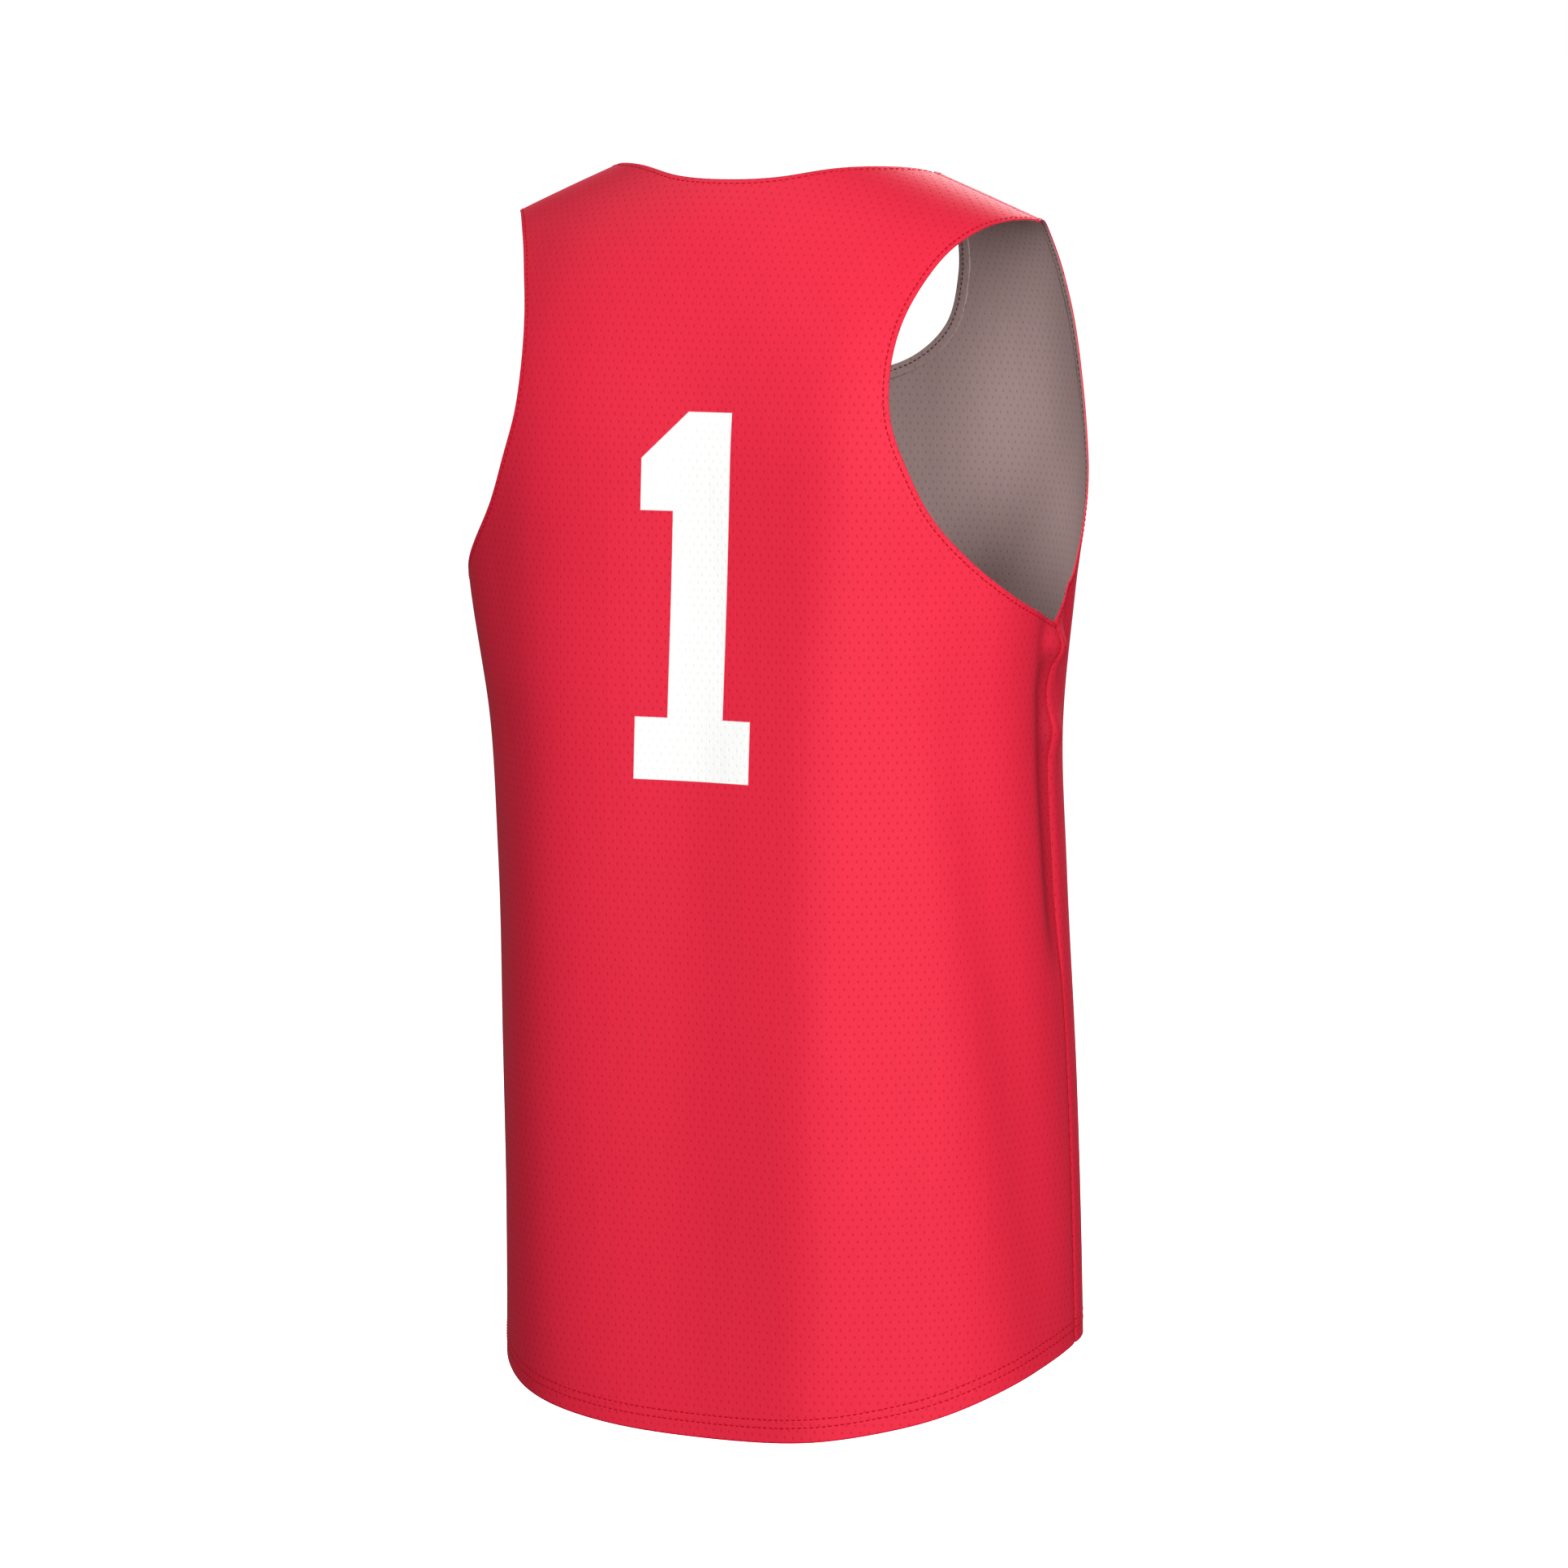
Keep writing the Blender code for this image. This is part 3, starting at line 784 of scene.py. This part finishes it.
def pressed_seam_look(name, colour):
    """The pressed cloth that shows in a seam: deep red, with the pull of its stitches."""
    look = Look(name)
    _, up = look.flat_point()
    fuzz = look.noise(look.place(), Scale=900.0, Detail=2.0)
    pull = up.wave(PULL_PITCH)
    shade = (fuzz - 0.5) * FUZZ_SHARE + pull * PULL_SHARE + 1.0
    look.set(
        Base_Color=look.scaled(colour, shade),
        Roughness=0.65,
        Normal=look.bump(pull * PULL_HEIGHT + fuzz * FUZZ_HEIGHT),
        Specular_IOR_Level=0.25,
    )
    return look.material


# ---- Sizes and colours that a user would change ----
def linear(red, green, blue):
    """A colour given in the 0 to 255 of a picture, as the light it reflects."""
    share = np.array([red, green, blue]) / 255.0
    light = np.where(share <= 0.04045, share / 12.92, ((share + 0.055) / 1.055) ** 2.4)
    return tuple(light.tolist())


def size_in_mm(name, description, mm):
    """A size, given in millimetres and kept in metres."""
    return FloatProperty(name=name, description=description, default=mm * MM, unit="LENGTH")


def colour_of(name, description, *picture):
    """A colour, given as in a picture."""
    return FloatVectorProperty(
        name=name,
        description=description,
        default=linear(*picture),
        subtype="COLOR",
        min=0.0,
        max=1.0,
    )


class JerseySizes(PropertyGroup):
    cloth: size_in_mm("Cloth thickness", "Wall of the single layer of knit", 0.9)
    turning: size_in_mm("Turned edge", "Width of the turned neck and armholes", 8.0)
    hem: size_in_mm("Hem depth", "Width of the turned hem", 17.0)
    stitch: size_in_mm("Stitch length", "Length of thread that shows in one stitch", 2.4)
    pitch: size_in_mm("Stitch pitch", "From one stitch to the next", 3.6)
    thread: size_in_mm("Thread radius", "Half the thickness of the sewing thread", 0.4)


class JerseyColours(PropertyGroup):
    cloth: colour_of("Cloth", "Right side of the knit", 228, 34, 63)
    inside: colour_of("Wrong side", "Wrong side of the knit", 182, 158, 156)
    numeral: colour_of("Numeral", "Undyed knit of the numeral", 253, 253, 251)
    thread: colour_of("Thread", "Sewing thread on the right side", 194, 0, 26)


AWAY = ("from_opening", "from_hem", "from_seam")  # distances that the cloth holds, in mm
OUT_OF_REACH = 50.0  # for those distances, where there is no dent or shade
GREY = linear(84, 66, 64)  # thread on the wrong side
SEAM_RED = linear(196, 0, 22)
SHOW_THROUGH = (linear(206, 203, 201), linear(150, 146, 144))  # the numeral's wrong side

# How dark eyelets are, as shares of the cloth's red, green and blue: partly the cloth that
# shows through each hole, partly painted shade in the holes
RED_EYELET = (0.74, 0.22, 0.52)  # purer too, as red cloth is seen through red cloth
WHITE_EYELET = (0.90,) * 3
INSIDE_EYELET = (0.66,) * 3


def made_once(make, name, *settings):
    """The material of that name, made if it isn't there yet."""
    return bpy.data.materials.get(name) or make(name, *settings)


def darker(colour, shares):
    """A colour times a share for each of its parts."""
    return tuple(part * share for part, share in zip(colour, shares))


def cloth_looks(context, side):
    """The right side and the wrong side of a piece."""
    colours = context.scene.jersey_colours
    red, inside, white = map(tuple, (colours.cloth, colours.inside, colours.numeral))
    printed = (white, darker(white, WHITE_EYELET)) if side == BACK else None
    shows = SHOW_THROUGH if side == BACK else None
    faces = (
        ("red_mesh_knit", red, darker(red, RED_EYELET), printed, 0.0),
        ("wrong_side_knit", inside, darker(inside, INSIDE_EYELET), shows, ROUGHER_INSIDE),
    )
    return [made_once(knit_look, f"{name}_{NAMES[side]}", *rest) for name, *rest in faces]


def half_outline(side):
    """The lines of a piece that turn in: neckline, left armhole and hem."""
    seam, armhole, _, neckline = cut_lines(side)
    hem = hem_line(side, seam[0, 0], LINE_STEPS // 2)
    return both_halves(neckline), armhole, hem


def as_panel(piece):
    """Hangs a piece from the body's root, so that it moves with the body."""
    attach(piece, "root")


class JERSEY_OT_cloth(Operator):
    """Builds the back and the front: each flat grid is carried to the filled-out jersey"""

    bl_idname = "jersey.cloth"
    bl_label = "Cloth"

    def execute(self, context):
        for side, name in NAMES.items():
            grid, cells = flat_grid(side)
            quads, used = grid_faces(cells)
            flat = grid.reshape(-1, 2)[used]
            if side == BACK:
                quads = quads[:, ::-1]
            points, _ = worn(flat, side)
            cloth = mesh_piece(f"{name}_cloth", points, quads, cloth_looks(context, side))
            add_uv(cloth, flat)
            neck, armhole, hem = half_outline(side)
            seam, _, shoulder, _ = cut_lines(side)
            openings = (neck, armhole, mirrored(armhole))
            seams = (seam, mirrored(seam), shoulder, mirrored(shoulder))
            for away, lines in zip(AWAY, (openings, (hem,), seams)):
                add_values(cloth, away, distance_to(flat, lines) / MM)
            turn = turn_of(flat[:, 0], flat[:, 1], side)
            # painted shade in the depth of narrow troughs, by which the knit's colour is
            # darkened
            add_values(cloth, "crease", painted_crease_shade(turn, flat[:, 1]))
            wall = cloth.modifiers.new("Wall", "SOLIDIFY")
            wall.thickness = context.scene.jersey_sizes.cloth
            wall.offset = 0.0
            wall.material_offset = 1
            wall.material_offset_rim = 0
            as_panel(cloth)
            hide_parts(f"{name}_panel")
        return {"FINISHED"}


SEAM_REACH = 10.0 * MM  # how far from a seam the width of a turned edge leans to it


def inward_steps(line, start_along, stop_along):
    """Directions into the cloth at the points of a line, for one unit of width each.

    Square to the line, but at its ends along the seams there, so that the two pieces meet.
    """
    tangent = np.gradient(line, axis=0)
    tangent /= np.linalg.norm(tangent, axis=1, keepdims=True)
    square = np.stack([-tangent[:, 1], tangent[:, 0]], axis=-1)
    runs = run_along(line)
    for seam_way, end, away in ((start_along, 0, runs), (stop_along, -1, runs[-1] - runs)):
        seam_way = seam_way / np.linalg.norm(seam_way)
        slanted = seam_way / (seam_way @ square[end])
        near = np.exp(-((away / SEAM_REACH) ** 2))[:, None]
        square = square * (1 - near) + slanted * near
    return square


def edges_of(side):
    """The turned edges of a piece: whether it's the hem, line, and inward directions.

    Each line but the right armhole runs so that the cloth is on its left in the flat.
    """
    neck, armhole, hem = half_outline(side)
    seam, _, shoulder, _ = cut_lines(side)
    seam_down, seam_up = seam[-4] - seam[-1], seam[3] - seam[0]
    shoulder_in, shoulder_out = shoulder[3] - shoulder[0], shoulder[-4] - shoulder[-1]
    neck, armhole = even(neck, NECK_STEPS)[::-1], even(armhole, ARMHOLE_STEPS)
    hem = even(hem, HEM_STEPS)
    into_armhole = inward_steps(armhole, seam_down, shoulder_out)
    return (
        (False, neck, inward_steps(neck, shoulder_in, mirrored(shoulder_in))),
        (False, armhole, into_armhole),
        (False, mirrored(armhole), mirrored(into_armhole)),
        (True, hem, inward_steps(hem, mirrored(seam_up), seam_up)),
    )


TURNED_LAYER = 0.14 * MM
FOLD_STEPS = 8
FOLD_FLATNESS = 0.45
RED_STEPS = 6  # faces of the fold, from the right side, that show the right side's colour
# The turning's inner face: share of its width, and how far it sinks, in layers
SINKING = ((0.45, 0.0), (0.62, 0.16), (0.82, 0.60), (1.0, 1.02))


def turned_profile(width, wall):
    """A turned edge across its width: (inward, raised), round the fold and back inside.

    The fold is half an ellipse from the right side of the cloth to the turning's own inner
    face. The turning lies on the wrong side of the cloth and sinks into it towards its raw
    edge.
    """
    half, layer = wall / 2, TURNED_LAYER
    low = -half - layer
    middle, radius = (half + low) / 2, (half - low) / 2
    turn = np.linspace(0.5, 1.5, FOLD_STEPS + 1) * np.pi
    across = FOLD_FLATNESS * radius * np.cos(turn)
    fold = np.stack([across, middle + radius * np.sin(turn)], axis=-1)
    face = [(width * share, low + layer * sunk) for share, sunk in SINKING]
    back = [
        (width * 0.5, -half - 0.01 * MM),
        (1.2 * MM, -half + 0.02 * MM),
        (0.6 * MM, half - 0.06 * MM),
    ]
    return np.concatenate([fold, face, back])


class Strips:
    """Closed strips of one piece, gathered into one mesh: a profile carried along lines."""

    def __init__(self, side):
        self.side = side
        self.points, self.faces, self.flats, self.wrong = [], [], [], []
        self.count = 0

    def carry(self, line, inward, profile, wrong):
        """Adds a strip. wrong says which faces round the profile show the wrong side."""
        around = len(profile)
        flat = line[:, None] + inward[:, None] * profile[None, :, :1]
        lift = np.broadcast_to(profile[:, 1], flat.shape[:2])
        place, _ = worn(flat.reshape(-1, 2), self.side, lift.ravel())
        walls = tube_faces(len(line), around)
        low = np.arange(around // 2 - 1)
        cap = np.stack([low, low + 1, around - 2 - low, around - 1 - low], axis=-1)
        far = (len(line) - 1) * around
        quads = np.concatenate([walls, cap[:, ::-1], cap + far])
        edge, other = line[1] - line[0], inward[0]
        turned = edge[0] * other[1] - edge[1] * other[0] < 0
        if turned == (self.side == BACK):
            quads = quads[:, ::-1]
        self.points.append(place)
        self.faces.append(quads + self.count)
        self.flats.append(flat.reshape(-1, 2))
        self.wrong.append(np.tile(wrong, len(line) - 1))
        self.wrong.append(np.ones(2 * len(cap), bool))
        self.count += len(place)

    def build(self, name, looks):
        gathered = (self.points, self.faces, self.flats, self.wrong)
        points, faces, flat, wrong = map(np.concatenate, gathered)
        piece = mesh_piece(name, points, faces, looks, wrong)
        add_uv(piece, flat)
        for away in AWAY:
            add_values(piece, away, np.full(len(flat), OUT_OF_REACH))
        # no painted trough shade on the strips
        add_values(piece, "crease", np.zeros(len(flat)))
        as_panel(piece)


class JERSEY_OT_turned_edges(Operator):
    """Builds the turned neck, armholes and hem: one profile carried along each edge"""

    bl_idname = "jersey.turned_edges"
    bl_label = "Turned edges"

    def execute(self, context):
        sizes = context.scene.jersey_sizes
        for side, name in NAMES.items():
            strips = Strips(side)
            for is_hem, line, inward in edges_of(side):
                width = sizes.hem if is_hem else sizes.turning
                profile = turned_profile(width, sizes.cloth)
                face = np.arange(len(profile))
                wrong = (face >= RED_STEPS) & (face < len(profile) - 1)
                strips.carry(line, inward, profile, wrong)
            strips.build(f"{name}_turned_edges", cloth_looks(context, side))
        return {"FINISHED"}


SEAM_ROLL = 0.62 * MM  # radius of the pressed cloth that shows in a seam
SEAM_RAISED = 0.10 * MM  # from the middle of the cloth's wall out to the middle of that
SEAM_AROUND = 10
ROLL_ENDS = (0.0, 0.03)
ALLOWANCE_ENDS = (0.040, 0.14)
UNDERARM_END = 0.6  # of what is left off at the hem
ALLOWANCE = 7.0 * MM
ALLOWANCE_WALL = 0.8 * MM  # both layers, pressed together
OVERLOCK_PITCH = 2.6 * MM
OVERLOCK_INSET = 3.2 * MM
OVERLOCK_LOOP = 4.4 * MM
OVERLOCK_STITCH = 2.2 * MM
OVERLOCK_THREAD = 0.7  # of the radius of the other thread
OVERLOCK_LEAN = 0.35  # of a stitch of the chain, along the seam


def seam_lines(ends):
    """The seams of the back, left off near their ends, and the directions into the back.

    ends is the share of the side seams left off at the hem, and of the shoulder seams at
    both ends.
    """
    seam, _, shoulder, _ = cut_lines(BACK)
    side_line = even(seam, SIDE_STEPS, ends[0], 1.0 - UNDERARM_END * ends[0])
    top = even(shoulder, SHOULDER_STEPS, ends[1], 1.0 - ends[1])
    slope = np.gradient(top, axis=0)
    slope /= np.linalg.norm(slope, axis=1, keepdims=True)
    into_side = np.broadcast_to([-1.0, 0.0], side_line.shape)
    into_top = np.stack([slope[:, 1], -slope[:, 0]], axis=-1)
    lines = [(side_line, into_side), (top, into_top)]
    return lines + [(mirrored(line), mirrored(into)) for line, into in lines]


def overlock_row(line, into, low):
    """The overlocking of a seam: a chain along it, and leaning loops out to its raw edge."""
    loop = OVERLOCK_INSET + OVERLOCK_LOOP
    chain, foot, head = (
        stitch_row(line, into, BACK, inset, low - raised * MM, OVERLOCK_PITCH, long)
        for inset, raised, long in (
            (OVERLOCK_INSET, 0.05, OVERLOCK_STITCH),
            (OVERLOCK_INSET, 0.12, 0.0),
            (loop, 0.02, 0.0),
        )
    )
    count = min(len(foot[0]), len(head[0]))
    lead = (chain[1] - chain[0]) * OVERLOCK_LEAN
    loops = (foot[0][:count], head[0][:count] + lead[:count], foot[2][:count])
    return [np.concatenate(both) for both in zip(chain, loops)]


class JERSEY_OT_seams(Operator):
    """Builds the seam allowances, pressed to the back's wrong side, and their overlocking"""

    bl_idname = "jersey.seams"
    bl_label = "Seam allowances"

    def execute(self, context):
        sizes = context.scene.jersey_sizes
        half = sizes.cloth / 2
        low = -half - ALLOWANCE_WALL
        profile = np.array(
            [
                (0.0, -half * 0.8),
                (0.2 * MM, -half - 0.02 * MM),
                (ALLOWANCE * 0.5, -half - 0.02 * MM),
                (ALLOWANCE - 0.1 * MM, -half - 0.05 * MM),
                (ALLOWANCE, (low - half) / 2),
                (ALLOWANCE - 0.2 * MM, low),
                (ALLOWANCE * 0.5, low),
                (0.5 * MM, low),
                (0.1 * MM, (low - half) / 2),
                (0.0, -half),
            ]
        )
        strips, rows = Strips(BACK), []
        for line, into in seam_lines(ALLOWANCE_ENDS):
            strips.carry(line, into, profile, np.ones(len(profile), bool))
            rows.append(overlock_row(line, into, low))
        strips.build("seam_allowances", cloth_looks(context, FRONT))
        turn = np.arange(SEAM_AROUND) * 2 * np.pi / SEAM_AROUND
        roll = SEAM_ROLL * np.stack([np.cos(turn), np.sin(turn)], axis=-1)
        roll[:, 1] += SEAM_RAISED
        strips = Strips(BACK)
        for line, into in seam_lines(ROLL_ENDS):
            strips.carry(line, into, roll, np.zeros(SEAM_AROUND, bool))
        look = made_once(pressed_seam_look, "pressed_seam", SEAM_RED)
        strips.build("seam_rolls", (look, look))
        grey = made_once(thread_look, "wrong_side_thread", GREY)
        stitches("overlock_stitches", rows, sizes.thread * OVERLOCK_THREAD, grey)
        return {"FINISHED"}


STITCH_RINGS = np.array([-1.0, -0.82, -0.4, 0.4, 0.82, 1.0])
STITCH_AROUND = 6
STITCH_FLATNESS = 0.6
STITCH_RAISED = 0.2  # of the thread's radius, from the cloth's face to a stitch's middle


def stitches(name, rows, radius, look):
    """Joined stitches, each a rounded bar: its width follows (1 - along^4)^(1/2)."""
    starts, stops, normals = map(np.concatenate, zip(*rows))
    along = (stops - starts) / 2
    middle = (stops + starts) / 2
    across = np.cross(along, normals)
    across /= np.linalg.norm(across, axis=1, keepdims=True)
    turn = np.arange(STITCH_AROUND) * 2 * np.pi / STITCH_AROUND
    wide = np.sqrt(np.clip(1 - STITCH_RINGS**4, 0.02, 1.0))[:, None] * radius
    aside, raised = wide * np.cos(turn), wide * np.sin(turn) * STITCH_FLATNESS
    points = (
        middle[:, None, None]
        + along[:, None, None] * STITCH_RINGS[None, :, None, None]
        + across[:, None, None] * aside[None, :, :, None]
        + normals[:, None, None] * raised[None, :, :, None]
    )
    far = (len(STITCH_RINGS) - 1) * STITCH_AROUND
    caps = np.array([[0, 1, 2, 3], [0, 3, 4, 5]])
    sides = tube_faces(len(STITCH_RINGS), STITCH_AROUND)[:, ::-1]
    one = np.concatenate([sides, caps, caps[:, ::-1] + far])
    quads = one[None] + (np.arange(len(starts)) * (far + STITCH_AROUND))[:, None, None]
    piece = mesh_piece(name, points.reshape(-1, 3), quads.reshape(-1, 4), (look,))
    twist = np.broadcast_arrays(STITCH_RINGS[:, None], (turn / (2 * np.pi))[None])
    add_uv(piece, np.tile(np.stack(twist, axis=-1).reshape(-1, 2), (len(starts), 1)))
    as_panel(piece)


def stitch_row(line, inward, side, inset, lift, pitch, length):
    """Ends and normals of the stitches of a row that follows an edge at an inset."""
    place, normal = worn(line + inward * inset, side, lift)
    runs = run_along(place)
    count = int(runs[-1] / pitch)
    middle = (np.arange(count) + 0.5) * runs[-1] / count
    ends = [at_runs(middle + way * length / 2, runs, place) for way in (-1, 1)]
    return *ends, at_runs(middle, runs, normal)


class JERSEY_OT_stitches(Operator):
    """Builds the rows of topstitching, on the right side and on the wrong side"""

    bl_idname = "jersey.stitches"
    bl_label = "Stitches"

    def execute(self, context):
        sizes = context.scene.jersey_sizes
        red = tuple(context.scene.jersey_colours.thread)
        outside = made_once(thread_look, "red_thread", red)
        inside = made_once(thread_look, "wrong_side_thread", GREY)
        half = sizes.cloth / 2
        raised = STITCH_RAISED * sizes.thread
        faces = (
            ("outside", outside, half + raised),
            ("inside", inside, -half - TURNED_LAYER - raised),
        )
        for side, name in NAMES.items():
            for group, insets in (("edge", (STITCH_INSET,)), ("hem", HEM_ROWS)):
                tracks = [
                    (line, inward, side, inset * MM)
                    for is_hem, line, inward in edges_of(side)
                    if is_hem == (group == "hem")
                    for inset in insets
                ]
                for face, look, lift in faces:
                    rows = [
                        stitch_row(*track, lift, sizes.pitch, sizes.stitch) for track in tracks
                    ]
                    piece = f"{name}_{group}_stitches_{face}"
                    stitches(piece, rows, sizes.thread, look)
        return {"FINISHED"}


class JERSEY_OT_stage(Operator):
    """Sets the camera, a pale floor, plain soft lights and a white surround"""

    bl_idname = "jersey.stage"
    bl_label = "Stage"

    def execute(self, context):
        make_stage(context)
        return {"FINISHED"}


AZIMUTH = math.radians(205.0)
PITCH = math.radians(6.86)
DISTANCE = 3.95
CAMERA_UP = 0.118
FOCAL_PIXELS = 8400.0
PICTURE = 1932.0
AXIS_COLUMN = 957.0  # the pixel column of the jersey's middle
SENSOR = 36.0
FLOOR_UP = -1.05
FLOOR_HALF = 60.0
FLOOR_TONES = (0.90, 0.93)
WORLD_LIGHT = 0.06  # of the surround on the jersey. The camera sees it white
LIT = np.array([0.0, 0.0, -0.36])  # the point that the lamps look at

Lamp = namedtuple("Lamp", "name azimuth elevation distance size power")
LAMPS = (
    Lamp("key", 235.0, 6.0, 3.2, 0.9, 66.0),
    Lamp("back", 190.0, 10.0, 3.2, 1.2, 58.0),
    Lamp("left", 108.0, 67.0, 3.2, 1.2, 34.0),
    Lamp("front", 2.0, 34.0, 3.2, 1.2, 90.0),
)


def looking(azimuth, elevation):
    """The way back from a camera or lamp that looks at the jersey, and its turn."""
    back = np.array(
        [
            math.sin(azimuth) * math.cos(elevation),
            -math.cos(azimuth) * math.cos(elevation),
            math.sin(elevation),
        ]
    )
    right = np.array([math.cos(azimuth), math.sin(azimuth), 0.0])
    upward = np.cross(back, right)
    return back, Matrix(np.stack([right, upward, back], axis=-1).tolist()).to_4x4()


def make_stage(context):
    """The camera of the photograph, the lamps, the white surround and the floor."""
    scene = context.scene
    data = bpy.data.cameras.new("camera")
    data.sensor_width = SENSOR
    data.lens = FOCAL_PIXELS / PICTURE * SENSOR
    data.clip_end = 200.0
    _, turn = looking(AZIMUTH, PITCH)
    right = np.array([math.cos(AZIMUTH), math.sin(AZIMUTH), 0.0])
    level = np.array([math.sin(AZIMUTH), -math.cos(AZIMUTH), 0.0])
    aside = (AXIS_COLUMN - PICTURE / 2) / FOCAL_PIXELS * DISTANCE
    place = level * DISTANCE + np.array([0.0, 0.0, CAMERA_UP]) - right * aside
    scene.camera = placed("camera", data, Matrix.Translation(place.tolist()) @ turn)

    for lamp in LAMPS:
        light = bpy.data.lights.new(lamp.name, "AREA")
        light.shape = "DISK"
        light.size = lamp.size
        light.energy = lamp.power
        back, turn = looking(math.radians(lamp.azimuth), math.radians(lamp.elevation))
        place = LIT + back * lamp.distance
        placed(lamp.name, light, Matrix.Translation(place.tolist()) @ turn)

    world = bpy.data.worlds.new("surround")
    world.use_nodes = True
    scene.world = world
    tree = world.node_tree
    shade = tree.nodes["Background"]
    path = tree.nodes.new("ShaderNodeLightPath")
    mix = tree.nodes.new("ShaderNodeMapRange")
    mix.inputs["To Min"].default_value = WORLD_LIGHT
    mix.inputs["To Max"].default_value = 1.0
    tree.links.new(path.outputs["Is Camera Ray"], mix.inputs["Value"])
    tree.links.new(mix.outputs["Result"], shade.inputs["Strength"])
    shade.inputs["Color"].default_value = (1.0, 1.0, 1.0, 1.0)

    corners = np.array([[-1, -1, 0], [1, -1, 0], [1, 1, 0], [-1, 1, 0]]) * FLOOR_HALF
    look = Look("pale_floor")
    tone = look.noise(look.place(), Scale=30.0, Detail=4.0).ramp(0.3, 0.7, *FLOOR_TONES)
    grey = look.node("ShaderNodeCombineColor", {}, tone, tone, tone)
    look.set(Base_Color=grey, Roughness=0.9, Specular_IOR_Level=0.1)
    look.set(Emission_Color=grey, Emission_Strength=1.2)
    floor = mesh_piece("floor", corners + [0, 0, FLOOR_UP], [[0, 1, 2, 3]], (look.material,))
    floor.visible_diffuse = False
    floor.visible_glossy = False
    scene.view_settings.view_transform = "Standard"


class JERSEY_PT_panel(Panel):
    """Lists the jersey's sizes, colours and steps"""

    bl_label = "Jersey"
    bl_idname = "JERSEY_PT_panel"
    bl_space_type = "VIEW_3D"
    bl_region_type = "UI"
    bl_category = "Jersey"

    def draw(self, context):
        for group in (context.scene.jersey_sizes, context.scene.jersey_colours):
            box = self.layout.box()
            for key in group.__annotations__:
                box.prop(group, key)
        for step in STEPS:
            self.layout.operator(step.bl_idname)


STEPS = (
    JERSEY_OT_cloth,
    JERSEY_OT_turned_edges,
    JERSEY_OT_seams,
    JERSEY_OT_stitches,
    JERSEY_OT_stage,
)
CLASSES = (JerseySizes, JerseyColours, *STEPS, JERSEY_PT_panel)


def register():
    for cls in CLASSES:
        bpy.utils.register_class(cls)
    bpy.types.Scene.jersey_sizes = PointerProperty(type=JerseySizes)
    bpy.types.Scene.jersey_colours = PointerProperty(type=JerseyColours)


def unregister():
    del bpy.types.Scene.jersey_sizes
    del bpy.types.Scene.jersey_colours
    for cls in reversed(CLASSES):
        bpy.utils.unregister_class(cls)


# flat is the width and length that a piece is cut from, and area the cut's own
Sheet = namedtuple("Sheet", "name flat area")


def main():
    register()
    for step in STEPS:
        group, name = step.bl_idname.split(".")
        getattr(getattr(bpy.ops, group), name)()


if __name__ == "__main__":
    main()
